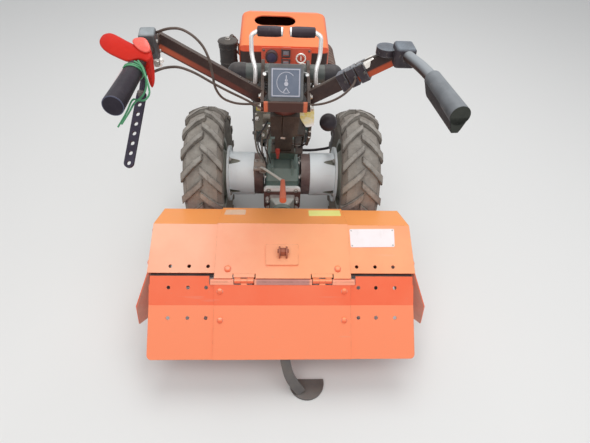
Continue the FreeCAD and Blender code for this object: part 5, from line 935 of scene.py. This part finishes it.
def engine_pieces():
    form = Form()
    face = 52.0
    for level in (681.5, 712.5):
        outline = [(-9.0, level - 12.5), (21.0, level - 12.5), (21.0, level + 12.5), (-9.0, level + 12.5)]
        hole = [(-3.5, level - 8.0), (15.5, level - 8.0), (15.5, level + 8.0), (-3.5, level + 8.0)]
        for number in range(4):
            after = (number + 1) % 4
            form.plate([(x, face, z) for x, z in (outline[number], outline[after], hole[after], hole[number])],
                       (0.0, -7.5, 0.0))
    form.make("switch_frames", "tractor_frame", SWITCH_FRAME)
    form = Form()
    form.block((6.0, 47.0, 714.0), (18.0, 6.0, 13.0))
    form.block((6.0, 47.0, 683.0), (18.0, 6.0, 7.0))
    form.make("switch_rockers", "tractor_frame", SWITCH_FACE)
    form = Form()
    form.turned((-41.0, 53.0, 702.0), (0, -1, 0), [(-1.0, 20.5), (16.5, 20.5), (18.5, 18.5), (18.5, 16.0)], 36)
    form.make("panel_cap_rim", "tractor_frame", GAUGE_RIM)
    form = Form()
    form.turned((-41.0, 53.0, 702.0), (0, -1, 0), [(0.0, 15.8), (18.0, 15.8), (20.0, 12.0), (20.5, 0.3)], 36)
    form.make("panel_cap", "tractor_frame", GAUGE_FACE)
    form = Form()
    form.turned((55.0, 52.0, 703.0), (0, -1, 0), [(-1.0, 10.0), (4.0, 10.0), (5.0, 8.5), (5.0, 0.5)], 28)
    form.block((55.0, 38.0, 703.0), (3.0, 22.0, 11.0))
    circle = []
    for step in range(10):
        angle = 2.0 * math.pi * step / 10.0
        circle.append((55.0 + 15.5 * math.cos(angle), 33.0, 703.0 + 15.5 * math.sin(angle)))
    form.tube(circle, 2.6, 12, 3, closed=True)
    form.make("key_and_ring", "tractor_frame", RING_METAL)
    form = Form()
    circle = []
    for step in range(10):
        angle = 2.0 * math.pi * step / 10.0
        circle.append((62.0 + 15.0 * math.cos(angle), 30.0, 676.0 + 12.5 * math.sin(angle)))
    form.tube(circle, 1.4, 10, 3, closed=True)
    form.make("key_loop", "tractor_frame", RING_METAL)
    form = Form()
    form.block((78.0, 28.0, 684.0), (9.0, 4.0, 15.0), Matrix.Rotation(math.radians(18.0), 3, "Y"))
    form.make("key_tag", "tractor_frame", WHITE_LABEL)
    form = Form()
    for x in (-67.0, 83.0):
        for z in (663.0, 719.0):
            dome_bolt(form, (x, 52.0, z), (0, -1, 0), 4.0)
    form.make("panel_screws", "tractor_frame", DARK_BOLT)
    form = Form()
    form.turned((-31.0, 216.0, 722.0), UP, [(-1.0, 27.5), (2.0, 27.5), (6.0, 25.0), (7.5, 18.0), (7.5, 0.5)], 36)
    for number in range(18):
        angle = 2.0 * math.pi * number / 18
        spot = (-31.0 + 27.0 * math.cos(angle), 216.0 + 27.0 * math.sin(angle), 711.0)
        form.turned(spot, UP, [(-9.0, 2.0), (10.0, 2.0), (11.5, 1.0)], 8)
    form.make("tank_cap_grip", "tractor_frame", MATERIALS["black_plastic"])
    form = Form()
    form.turned((-187.0, 92.0, 734.0), UP, [(-8.0, 31.8), (-5.0, 33.5), (-2.0, 31.8), (0.0, 26.0), (2.0, 12.0), (2.0, 1.0)], 32)
    for level in (612.0, 660.0, 708.0):
        form.turned((-187.0, 92.0, level), UP, [(0.0, 29.2), (1.2, 30.4), (3.8, 30.4), (5.0, 29.2)], 32)
    form.make("filter_bands", "tractor_frame", MATERIALS["black_plastic"])
    form = Form()
    hex_bolt(form, (-187.0, 92.0, 735.5), UP, 7.0)
    form.tube([(-158.0, 92.0, 724.0), (-152.0, 92.0, 712.0), (-154.0, 92.0, 690.0)], 2.2, 8)
    form.make("filter_clip", "tractor_frame", ZINC)
    form = Form()
    form.turned((-172.0, 176.0, 700.0), (-0.5, -0.3, 0.8), [(-8.0, 10.0), (8.0, 10.0), (12.0, 8.5), (20.0, 8.5), (22.0, 6.0)], 20)
    form.tube([(-172.0, 176.0, 698.0), (-152.0, 190.0, 668.0), (-112.0, 220.0, 640.0), (-84.0, 260.0, 622.0)], 4.5, 10)
    form.make("breather", "tractor_frame", DARK_PART)
    form = Form()
    form.block((-170.0, 150.0, 690.0), (14.0, 30.0, 10.0))
    form.tube([(-170.0, 140.0, 690.0), (-166.0, 128.0, 684.0), (-150.0, 126.0, 670.0), (-132.0, 140.0, 650.0)], 4.0, 10)
    form.make("fuel_cock", "tractor_frame", RED_PAINT)
    form = Form()
    form.block((-104.0, 262.0, 560.0), (44.0, 54.0, 62.0))
    form.turned((-104.0, 262.0, 520.0), UP, [(0.0, 14.0), (3.0, 19.0), (16.0, 20.0)], 24)
    form.make("carburettor", "tractor_frame", ZINC)
    form = Form()
    for x in (-66.0, 66.0):
        for y in (256.0, 384.0):
            hex_bolt(form, (x, y, 632.0), UP, 5.5)
    form.block((0.0, 320.0, 633.0), (92.0, 116.0, 8.0))
    form.make("cylinder_cover", "tractor_frame", DARK_BOLT)
    form = Form()
    form.turned((88.0, 300.0, 604.0), RIGHT, [(-6.0, 8.0), (8.0, 8.0), (10.0, 10.0), (26.0, 10.0), (32.0, 7.0)], 18)
    form.tube([(118.0, 300.0, 604.0), (132.0, 310.0, 610.0), (136.0, 356.0, 604.0), (128.0, 404.0, 580.0), (104.0, 440.0, 556.0)],
              3.5, 10)
    form.make("spark_plug_lead", "tractor_frame", MATERIALS["black_rubber"])
    form = Form()
    for number in range(7):
        y = 240.0 + 27.0 * number
        form.turned((167.0, y, 566.0), AHEAD, [(0.0, 40.2), (1.5, 41.6), (4.5, 41.6), (6.0, 40.2)], 40)
    form.make("muffler_bands", "tractor_frame", MATERIALS["dark_steel"])
    form = Form()
    for side in (-1, 1):
        for y, z in ((216.0, 300.0), (426.0, 300.0), (216.0, 456.0), (426.0, 456.0), (320.0, 456.0), (320.0, 300.0)):
            hex_bolt(form, (side * 118.0, y, z), (side, 0, 0), 6.5)
        form.block((side * 119.5, 321.0, 372.0), (5.0, 150.0, 96.0))
        for y, z in ((258.0, 336.0), (384.0, 336.0), (258.0, 408.0), (384.0, 408.0)):
            hex_bolt(form, (side * 122.0, y, z), (side, 0, 0), 4.5)
    form.make("crankcase_covers", "tractor_frame", MATERIALS["engine_casting"])
    form = Form()
    for number in range(3):
        angle = math.radians(120.0 * number + 45.0)
        hex_bolt(form, (75.0 * math.cos(angle), 537.0, 372.0 + 75.0 * math.sin(angle)), AHEAD, 5.0)
    for number in range(6):
        angle = math.radians(60.0 * number)
        hex_bolt(form, (122.0 * math.cos(angle), 508.0, 372.0 + 122.0 * math.sin(angle)), AHEAD, 5.0)
    form.make("cowl_bolts", "tractor_frame", ZINC)
    form = Form()
    form.turned((0.0, 538.0, 372.0), AHEAD, [(-2.0, 22.0), (3.0, 22.0), (5.0, 19.0), (5.0, 8.0)], 32)
    form.block((-78.0, 530.0, 424.0), (20.0, 16.0, 52.0), Matrix.Rotation(math.radians(-38.0), 3, "Y"))
    form.tube([(-66.0, 530.0, 410.0), (-56.0, 530.0, 398.0)], 3.0, 8)
    form.make("starter_handle", "tractor_frame", MATERIALS["black_rubber"])
    form = Form()
    for side in (-1, 1):
        for y in (286.0, 400.0):
            dome_bolt(form, (side * 150.0, y, 677.0), (side, 0, 0), 6.0)
    form.make("hood_screws", "tractor_frame", DARK_BOLT)
    form = Form()
    for side in (-1, 1):
        for y in (254.0, 390.0):
            hex_bolt(form, (side * 80.0, y, 252.0 + 2.0), UP, 6.5)
            nut(form, (side * 80.0, y, 224.5), (0, 0, -1), 6.5)
    form.make("guard_bolts", "tractor_frame", ZINC)
    form = Form()
    form.tube([(86.0, 216.0, 286.0), (96.0, 200.0, 300.0), (96.0, 190.0, 330.0)], 3.5, 8)
    form.turned((100.0, 438.0, 300.0), RIGHT, [(10.0, 14.0), (26.0, 14.0), (30.0, 12.0)], 20)
    form.make("dipstick_and_filler", "tractor_frame", YELLOW_PLASTIC)


# Steering column and what is clipped to it

def column_pieces():
    form = Form()
    form.block((-2.0, -203.0, 556.0), (15.0, 18.0, 9.0), Matrix.Rotation(math.radians(-6.0), 3, "Z"))
    hex_bolt(form, (14.0, -176.0, 540.0), (0, -0.6, 0.8), 5.5)
    hex_bolt(form, (-4.0, -172.0, 532.0), (0, -0.6, 0.8), 6.0)
    form.make("column_ledge_bolts", "tractor_frame", ZINC)
    form = Form()
    form.turned((-18.0, -110.0, 424.0), (0.0, -0.35, 1.0), [(-24.0, 4.0), (0.0, 6.0), (6.0, 8.0), (24.0, 9.0), (38.0, 8.0),
                                                           (42.0, 3.0)], 24)
    form.make("red_knob", "tractor_frame", RED_KNOB)
    form = Form()
    form.block((-71.0, -172.0, 590.0), (34.0, 8.0, 58.0), Matrix.Rotation(math.radians(-38.0), 3, "X"))
    form.block((-52.0, -176.0, 604.0), (26.0, 30.0, 14.0))
    form.block((-58.0, -120.0, 520.0), (30.0, 10.0, 48.0), Matrix.Rotation(math.radians(-38.0), 3, "X"))
    form.block((-44.0, -118.0, 520.0), (36.0, 12.0, 12.0))
    form.make("clutch_plates", "tractor_frame", OLIVE_STEEL)
    form = Form()
    form.tube([(-86.0, -176.0, 618.0), (-90.0, -140.0, 560.0), (-96.0, -96.0, 470.0), (-92.0, -62.0, 400.0),
               (-74.0, -58.0, 352.0)], 3.4, 10)
    form.tube([(-62.0, -168.0, 590.0), (-70.0, -128.0, 520.0), (-74.0, -100.0, 440.0), (-70.0, -88.0, 370.0)], 3.0, 10)
    form.tube([(-46.0, -150.0, 560.0), (-52.0, -112.0, 490.0), (-56.0, -92.0, 420.0), (-54.0, -80.0, 360.0)], 3.0, 10)
    form.make("clutch_rods", "tractor_frame", ZINC)
    form = Form()
    form.tube([(-50.0, -196.0, 606.0), (-66.0, -206.0, 580.0), (-80.0, -196.0, 548.0), (-84.0, -168.0, 500.0),
               (-78.0, -132.0, 448.0), (-64.0, -104.0, 398.0), (-58.0, -84.0, 356.0)], 2.5, 10)
    form.tube([(-40.0, -190.0, 590.0), (-44.0, -196.0, 566.0), (-58.0, -178.0, 522.0), (-62.0, -140.0, 466.0),
               (-50.0, -112.0, 420.0), (-44.0, -92.0, 372.0)], 2.2, 10)
    form.tube([(58.0, -178.0, 600.0), (74.0, -186.0, 584.0), (86.0, -178.0, 548.0), (84.0, -150.0, 504.0),
               (68.0, -122.0, 470.0), (56.0, -102.0, 448.0)], 3.0, 10)
    form.make("column_cables", "tractor_frame", MATERIALS["black_rubber"])
    form = Form()
    for x, y, z in ((-82.0, -180.0, 604.0), (-62.0, -180.0, 580.0), (-66.0, -130.0, 512.0), (-48.0, -130.0, 528.0)):
        hex_bolt(form, (x, y, z), (0, -0.78, 0.62), 5.5)
    form.make("clutch_plate_bolts", "tractor_frame", ZINC)
    form = Form()
    form.block((-84.0, -84.0, 356.0), (42.0, 66.0, 6.0))
    form.block((-70.0, -84.0, 346.0), (20.0, 44.0, 16.0))
    form.block((-102.0, -84.0, 340.0), (5.0, 60.0, 36.0))
    form.make("lever_bracket", "tractor_frame", BEIGE_STEEL)
    form = Form()
    for x, y in ((-96.0, -64.0), (-74.0, -64.0), (-96.0, -104.0), (-74.0, -104.0)):
        hex_bolt(form, (x, y, 359.0), UP, 5.0)
    form.make("lever_bracket_bolts", "tractor_frame", ZINC)
    form = Form()
    form.block((52.0, -150.0, 560.0), (26.0, 34.0, 60.0), Matrix.Rotation(math.radians(-38.0), 3, "X"))
    form.block((50.0, -104.0, 490.0), (24.0, 30.0, 50.0), Matrix.Rotation(math.radians(-38.0), 3, "X"))
    form.block((56.0, -68.0, 420.0), (30.0, 36.0, 34.0), Matrix.Rotation(math.radians(-20.0), 3, "X"))
    form.tube([(60.0, -186.0, 616.0), (66.0, -150.0, 560.0), (70.0, -110.0, 500.0), (66.0, -76.0, 430.0),
               (58.0, -60.0, 380.0)], 4.5, 10)
    form.make("gear_linkage", "tractor_frame", DARK_PART)
    form = Form()
    form.tube([(74.0, -258.0, 655.0), (76.0, -246.0, 622.0), (78.0, -214.0, 566.0), (74.0, -190.0, 520.0)], 5.0, 12)
    form.make("guard_rod", "tractor_frame", DARK_PART)
    form = Form()
    for y, z in ((-232.0, 598.0), (-214.0, 566.0)):
        form.turned((78.0, y - 4.0, z), (0, -0.8, 0.6), [(-2.0, 4.2), (3.0, 4.2), (4.0, 3.2)], 12)
    form.make("guard_rod_studs", "tractor_frame", ZINC)
    form = Form()
    outline = [(40.0, 689.0), (48.0, 697.5), (76.0, 697.5), (83.0, 687.0), (86.0, 635.0), (63.0, 629.0), (47.0, 654.0),
               (41.0, 667.0)]
    form.plate(rounded_outline([(x, -266.0, z) for x, z in outline], 6.0, 3), (0.0, 5.0, 0.0))
    form.make("yellow_guard", "tractor_frame", YELLOW_GUARD)
    form = Form()
    form.block((46.0, -252.0, 662.0), (36.0, 18.0, 14.0))
    form.make("yellow_guard_arm", "tractor_frame", DARK_PART)
    form = Form()
    form.block((-76.0, -176.0, 642.0), (18.0, 18.0, 20.0))
    form.make("yellow_connector", "tractor_frame", YELLOW_PLASTIC)
    form = Form()
    form.block((-56.0, -182.0, 636.0), (34.0, 14.0, 12.0))
    form.make("connector_arm", "tractor_frame", BEIGE_STEEL)
    form = Form()
    for x, y, z in ((-32.0, -262.0, 690.0), (32.0, -262.0, 690.0), (-32.0, -180.0, 590.0), (32.0, -180.0, 590.0)):
        socket_screw(form, (x, y - 64.0 + 18.0, z), (0, -0.77, 0.63), 3.6)
    form.make("cover_screws", "tractor_frame", DARK_BOLT)


# Console, cross tube and handlebar

def console_spot(x, up, lift=0.0):
    """A place on the console's face, from its middle."""
    angle = math.radians(28.0)
    lean = Vector((0.0, math.sin(angle), math.cos(angle)))
    out = Vector((0.0, -math.cos(angle), math.sin(angle)))
    return Vector((x, -318.0, 790.0)) + lean * up + out * lift


def console_pieces():
    out = console_spot(0.0, 0.0, 1.0) - console_spot(0.0, 0.0)
    form = Form()
    half = 38.0
    corners = [console_spot(x, up, 0.2) for x, up in ((-half, -35.0), (half, -35.0), (half, 36.0), (-half, 36.0))]
    form.plate(rounded_outline(corners, 3.0), out * 1.0)
    form.make("console_plate", "steering_head", SLATE)
    form = Form()
    wide, low, high, line = 36.0, -33.0, 34.0, 2.4
    for x0, x1, u0, u1 in ((-wide, wide, high - line, high), (-wide, wide, low, low + line),
                           (-wide, -wide + line, low + line, high - line), (wide - line, wide, low + line, high - line)):
        form.plate([console_spot(x, up, 1.0) for x, up in ((x0, u0), (x1, u0), (x1, u1), (x0, u1))], out * 0.8)
    form.make("console_frame_line", "steering_head", GREY_LINE)
    form = Form()
    arc = []
    for step in range(25):
        angle = math.radians(42.0 + 10.5 * step)
        arc.append((1.0 + 24.0 * math.cos(angle), 0.5 + 25.5 * math.sin(angle)))
    strip(form, arc, 1.6, out)
    strip(form, [(-6.0, -22.0), (1.0, -12.0), (8.0, -22.0)], 2.0, out)
    strip(form, [(1.0, 18.0), (1.0, -2.0)], 2.4, out)
    form.turned(console_spot(1.0, -2.5, 1.2), out, [(0.0, 5.4), (0.5, 5.2)], 24)
    form.turned(console_spot(1.0, 6.0, 1.2), out, [(0.0, 3.6), (0.45, 3.4)], 20)
    form.make("console_dial", "steering_head", GREY_LINE)
    form = Form()
    for side in (-1, 1):
        form.tube([console_spot(side * 44.0, 25.0, -10.0), console_spot(side * 52.0, 24.0, -5.0),
                   console_spot(side * 54.0, 20.0, 2.0)], 3.4, 10)
        form.turned(console_spot(side * 54.0, 20.0, 2.0), out, [(-3.0, 5.0), (3.0, 5.0), (5.0, 3.5)], 14)
    form.make("console_hooks", "steering_head", BRIGHT)
    form = Form()
    for side in (-1, 1):
        form.turned((side * 82.0, -240.0, 767.0), UP, [(-16.0, 10.0), (10.0, 10.0), (13.0, 8.0)], 20)
    form.make("lever_bosses", "steering_head", DARK_PART)
    form = Form()
    for side in (-1, 1):
        form.turned((side * 73.0, -247.0, 890.0), (-side, 0, 0), [(0.0, 8.0), (0.8, 11.2), (3.0, 12.4), (20.0, 13.0), (48.0, 13.0),
                                                                  (58.0, 12.0), (63.0, 9.5), (65.0, 5.0), (65.3, 0.3)], 28)
    form.make("lever_sleeves", "steering_head", SLEEVE, 50.0)


def strip(form, line, width, out):
    """A raised line on the console's plate, from its points as (x, up)."""
    half = width / 2.0
    for (x0, u0), (x1, u1) in zip(line, line[1:]):
        length = math.hypot(x1 - x0, u1 - u0)
        nx, nu = -(u1 - u0) / length * half, (x1 - x0) / length * half
        ex, eu = (x1 - x0) / length * half * 0.3, (u1 - u0) / length * half * 0.3
        corners = ((x0 - ex + nx, u0 - eu + nu), (x0 - ex - nx, u0 - eu - nu), (x1 + ex - nx, u1 + eu - nu),
                   (x1 + ex + nx, u1 + eu + nu))
        form.plate([console_spot(x, up, 1.15) for x, up in corners], out * 0.5)


def arm_spot(side, share, up=0.0, out=0.0):
    """A place on an arm's middle line, lifted and moved back."""
    end = (-290.0, -378.0, 915.0) if side < 0 else (262.0, -388.0, 905.0)
    start = (side * 60.0, -316.0, 749.0)
    spot = Vector(start).lerp(Vector(end), share)
    return spot + Vector((0.0, -out, up))


def handlebar_pieces():
    form = Form()
    for side in (-1, 1):
        hex_bolt(form, (side * 64.0, -353.0, 742.0), (side, 0, 0), 8.0)
        hex_bolt(form, (side * 64.0, -330.0, 760.0), (side, 0, 0), 6.0)
    form.make("brace_bolts", "handlebar", ZINC)
    form = Form()
    for share in (0.42, 0.52, 0.62):
        socket_screw(form, arm_spot(1, share, 4.0, 15.2), (0, -1, 0), 3.4)
    form.make("clamp_screws", "handlebar", DARK_BOLT)
    form = Form()
    turn = Matrix.Rotation(math.atan2(156.0, 202.0), 3, "Y").inverted()
    form.block(arm_spot(1, 0.665, 17.0), (27.0, 22.0, 15.0), turn)
    form.make("white_clamp", "handlebar", RING_METAL)
    form = Form()
    for share, up, size in ((0.44, 23.0, 9.0), (0.50, 25.0, 7.0), (0.56, 24.0, 8.0)):
        form.block(arm_spot(1, share, up), (size * 1.6, 15.0, size), turn)
    form.make("clamp_tops", "handlebar", CLAMP_TOP)
    form = Form()
    form.tube([arm_spot(1, 0.36, 20.0), arm_spot(1, 0.5, 25.0), arm_spot(1, 0.66, 24.0), arm_spot(1, 0.78, 22.0)], 4.0, 10)
    form.tube([arm_spot(1, 0.14, 18.0, 4.0), arm_spot(1, 0.25, 20.0, 4.0), arm_spot(1, 0.38, 21.0, 3.0)], 5.0, 10)
    form.make("throttle_rod", "handlebar", DARK_PART)
    form = Form()
    form.turned((-303.0, -520.0, 860.0), UP, [(-8.0, 7.0), (4.0, 7.0), (6.0, 5.0)], 16)
    for share in (0.15, 0.24):
        socket_screw(form, arm_spot(-1, share, 17.0), (-0.3, 0.0, 0.95), 5.0)
    form.make("arm_screws", "handlebar", DARK_BOLT)
    form = Form()
    for x, y, z in ((-275.5, -428.0, 930.0), (-276.0, -414.0, 904.0)):
        dome_bolt(form, (x, y, z), RIGHT, 4.0)
    form.block((-262.0, -505.0, 918.0), (10.0, 12.0, 12.0))
    form.make("box_screws", "handlebar", ZINC)
    lever_and_twine()
    right_grip()


def lever_and_twine():
    """The red hand lever on the left, the cord about the left grip and the beads below the box."""
    tongue = [(-371.6, -485.3, 950.4), (-365.3, -473.4, 957.6), (-350.3, -472.1, 960.8), (-332.6, -482.9, 958.3),
              (-314.9, -495.3, 955.0), (-299.7, -505.1, 952.6), (-284.5, -515.8, 949.7), (-266.0, -522.8, 949.2),
              (-259.5, -538.2, 942.5), (-269.3, -545.9, 936.9), (-286.1, -535.2, 939.5), (-307.1, -539.6, 933.7),
              (-328.4, -527.3, 936.3), (-350.1, -514.0, 939.4), (-366.3, -500.0, 943.8)]
    strap = [(-299.6, -483.4, 949.7), (-284.7, -475.7, 950.1), (-275.3, -484.2, 938.9), (-270.3, -498.1, 924.9),
             (-266.9, -515.7, 908.3), (-265.4, -533.8, 892.0), (-269.5, -545.2, 883.9), (-275.1, -540.1, 890.7),
             (-281.1, -523.5, 907.5), (-287.9, -510.3, 921.6), (-296.4, -497.7, 936.0)]
    facet = [(-302.2, -507.0, 957.1), (-298.5, -497.3, 962.7), (-274.4, -500.3, 965.3), (-261.6, -526.9, 953.9),
             (-269.6, -533.8, 949.0), (-284.1, -526.5, 950.3)]
    form = Form()
    form.pad(tongue, (-0.15, -0.45, 0.88), 7.0, 2.4)
    form.pad(strap, (0.30, -0.62, 0.72), 6.0, 1.8)
    lever = form.make("stop_lever_red", "handlebar", MATERIALS["red_plastic"], 60.0)
    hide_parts("stop_lever")
    form = Form()
    form.pad(facet, (-0.15, -0.45, 0.88), 5.0, 1.5)
    form.make("stop_lever_cap", "handlebar", PINK_RED, 60.0)
    form = Form()
    for spot in ((-274.0, -470.0, 905.0), (-271.0, -440.0, 895.0), (-272.0, -456.0, 893.0)):
        form.turned(spot, (0.6, -0.5, 0.3), [(-9.0, 4.0), (0.0, 5.2), (3.0, 5.2), (4.5, 3.5), (5.0, 0.3)], 16)
    form.make("cable_nuts", "handlebar", RING_METAL)
    form = Form()
    middle = Vector((-293.6, -558.0, 925.0))
    for lean in (0.0, 6.0):
        loop = []
        for step in range(12):
            angle = 2.0 * math.pi * step / 12.0
            loop.append(middle + Vector((18.6 * math.cos(angle), -lean - 8.0 * math.sin(angle), 18.6 * math.sin(angle))))
        form.tube(loop, 1.6, 8, 2, closed=True)
    form.tube([(-289.6, -556.0, 943.0), (-276.0, -560.0, 938.0), (-268.0, -575.0, 922.0), (-262.0, -590.0, 912.0),
               (-260.0, -598.0, 900.0), (-270.0, -604.0, 889.0), (-284.0, -602.0, 889.0), (-295.0, -598.0, 890.0),
               (-310.9, -600.0, 862.4), (-336.4, -600.0, 828.8)], 1.8, 8)
    form.tube([(-285.0, -548.0, 941.0), (-272.0, -560.0, 930.0), (-268.0, -582.0, 906.0), (-276.0, -594.0, 892.0),
               (-292.0, -602.0, 884.0), (-304.0, -606.0, 866.0), (-326.0, -604.0, 838.0)], 1.8, 8)
    form.make("twine", "handlebar", TWINE)
    form = Form()
    form.tube([(-306.0, -556.0, 938.5), (-311.5, -580.0, 932.0), (-312.5, -620.0, 931.0), (-313.0, -660.0, 930.5),
               (-311.0, -676.0, 933.0)], 1.3, 8)
    form.make("pale_cord", "handlebar", PALE_CORD)


def right_grip():
    """The keel under the right grip, and the dark ends of both grips."""
    start, end = Vector((279.0, -528.0, 925.0)), Vector((293.0, -690.0, 925.0))
    heading = (end - start).normalized()
    side = heading.cross(UP).normalized()
    tip = end + heading * 8.0
    section = ((17.4, -4.0), (9.5, -27.0), (6.0, -34.0), (-6.0, -34.0), (-9.5, -27.0), (-17.4, -4.0))
    form = Form()
    outline = [tip - heading * 134.0 + side * wide + UP * up for wide, up in section]
    form.plate(outline, heading * 134.0)
    form.make("right_grip_keel", "handlebar", MATERIALS["black_rubber"])
    form = Form()
    form.turned(tip, heading, [(-0.5, 18.2), (0.9, 18.2)], 32)
    outline = [tip + side * wide * 0.96 + UP * up * 0.98 for wide, up in section]
    form.plate(outline, heading * 0.9)
    form.make("right_grip_end", "handlebar", OLIVE_END)
    left = Vector((-4.0, -135.0, 0.0)).normalized()
    tip = Vector((-297.0, -680.0, 925.0)) + left * 8.0
    form = Form()
    form.turned(tip, left, [(-0.5, 18.4), (1.0, 18.4)], 32)
    form.make("left_grip_rim", "handlebar", GRIP_RIM)
    form = Form()
    form.turned(tip, left, [(0.5, 16.6), (1.7, 16.6)], 32)
    form.make("left_grip_end", "handlebar", DARK_END)


# Rotor bolts

def rotor_pieces():
    form = Form()
    for x in (92.0, 204.0, 316.0):
        for side in (-1, 1):
            for number in range(4):
                turn = math.radians(90.0 * number + 20.0)
                for radius, swing in ((48.0, 0.0), (48.0, 0.42)):
                    angle = turn + swing
                    spot = (side * (x - 4.0), -417.0 + radius * math.cos(angle), 168.0 + radius * math.sin(angle))
                    hex_bolt(form, spot, (-side, 0, 0), 6.0)
    form.make("tine_bolts", "rotor", DARK_BOLT)


# Everything is made here

hood_pieces()
wheel_pieces()
turned_drums()
gearbox_pieces()
engine_pieces()
column_pieces()
console_pieces()
handlebar_pieces()
rotor_pieces()


# Floor, light and camera

def floor():
    mesh = bpy.data.meshes.new("floor")
    reach = 6.0
    mesh.from_pydata([(-reach, -reach, 0), (reach, -reach, 0), (reach, reach, 0), (-reach, reach, 0)], [], [(0, 1, 2, 3)])
    piece = bpy.data.objects.new("floor", mesh)
    bpy.context.scene.collection.objects.link(piece)
    shader = Shader("floor")
    shader.finish((0.78, 0.77, 0.755), 0.9)
    mesh.materials.append(shader.material)


def area_light(name, place, target, size, power, colour=(1.0, 1.0, 1.0)):
    light = bpy.data.lights.new(name, "AREA")
    light.shape = "SQUARE"
    light.size = size
    light.energy = power
    light.color = colour
    lamp = bpy.data.objects.new(name, light)
    lamp.location = place
    lamp.rotation_euler = (Vector(target) - Vector(place)).to_track_quat("-Z", "Y").to_euler()
    bpy.context.scene.collection.objects.link(lamp)


def sky():
    world = bpy.data.worlds.new("studio")
    bpy.context.scene.world = world
    world.use_nodes = True
    tree = world.node_tree
    tree.nodes.clear()
    output = tree.nodes.new("ShaderNodeOutputWorld")
    background = tree.nodes.new("ShaderNodeBackground")
    path = tree.nodes.new("ShaderNodeLightPath")
    seen = tree.nodes.new("ShaderNodeMath")
    seen.operation = "MAXIMUM"
    also = tree.nodes.new("ShaderNodeMath")
    also.operation = "MAXIMUM"
    strength = tree.nodes.new("ShaderNodeMapRange")
    tree.links.new(path.outputs["Is Camera Ray"], seen.inputs[0])
    tree.links.new(path.outputs["Is Glossy Ray"], seen.inputs[1])
    tree.links.new(seen.outputs[0], also.inputs[0])
    tree.links.new(path.outputs["Is Transmission Ray"], also.inputs[1])
    tree.links.new(also.outputs[0], strength.inputs["Value"])
    strength.inputs["To Min"].default_value = 0.50
    strength.inputs["To Max"].default_value = 0.85
    background.inputs["Color"].default_value = (0.94, 0.97, 1.0, 1.0)
    tree.links.new(strength.outputs[0], background.inputs["Strength"])
    tree.links.new(background.outputs[0], output.inputs[0])


def camera():
    sine_yaw, cosine_yaw = math.sin(CAMERA_YAW), math.cos(CAMERA_YAW)
    sine_pitch, cosine_pitch = math.sin(CAMERA_PITCH), math.cos(CAMERA_PITCH)
    forward = Vector((sine_yaw * cosine_pitch, cosine_yaw * cosine_pitch, -sine_pitch))
    right = Vector((cosine_yaw, -sine_yaw, 0.0))
    down = forward.cross(right)
    level = right * math.cos(CAMERA_ROLL) + down * math.sin(CAMERA_ROLL)
    below = down * math.cos(CAMERA_ROLL) - right * math.sin(CAMERA_ROLL)
    turn = Matrix((level, -below, -forward)).transposed()
    lens = bpy.data.cameras.new("camera")
    lens.sensor_width = 36.0
    lens.lens = CAMERA_LENS
    lens.shift_y = CAMERA_SHIFT_Y
    lens.clip_start = 0.02
    lens.clip_end = 50.0
    made = bpy.data.objects.new("camera", lens)
    made.matrix_world = Matrix.Translation(CAMERA_PLACE) @ turn.to_4x4()
    bpy.context.scene.collection.objects.link(made)
    bpy.context.scene.camera = made


floor()
sky()
area_light("key", (-0.7, -2.0, 3.1), (0.0, 0.0, 0.3), 2.0, 34.0, (1.0, 0.98, 0.95))
area_light("fill", (1.5, -1.7, 2.8), (0.0, 0.0, 0.3), 2.0, 17.0, (0.96, 0.98, 1.0))
area_light("top", (0.2, 1.0, 3.9), (0.0, -0.1, 0.4), 2.4, 62.0)
camera()
bpy.context.scene.view_settings.view_transform = "Standard"
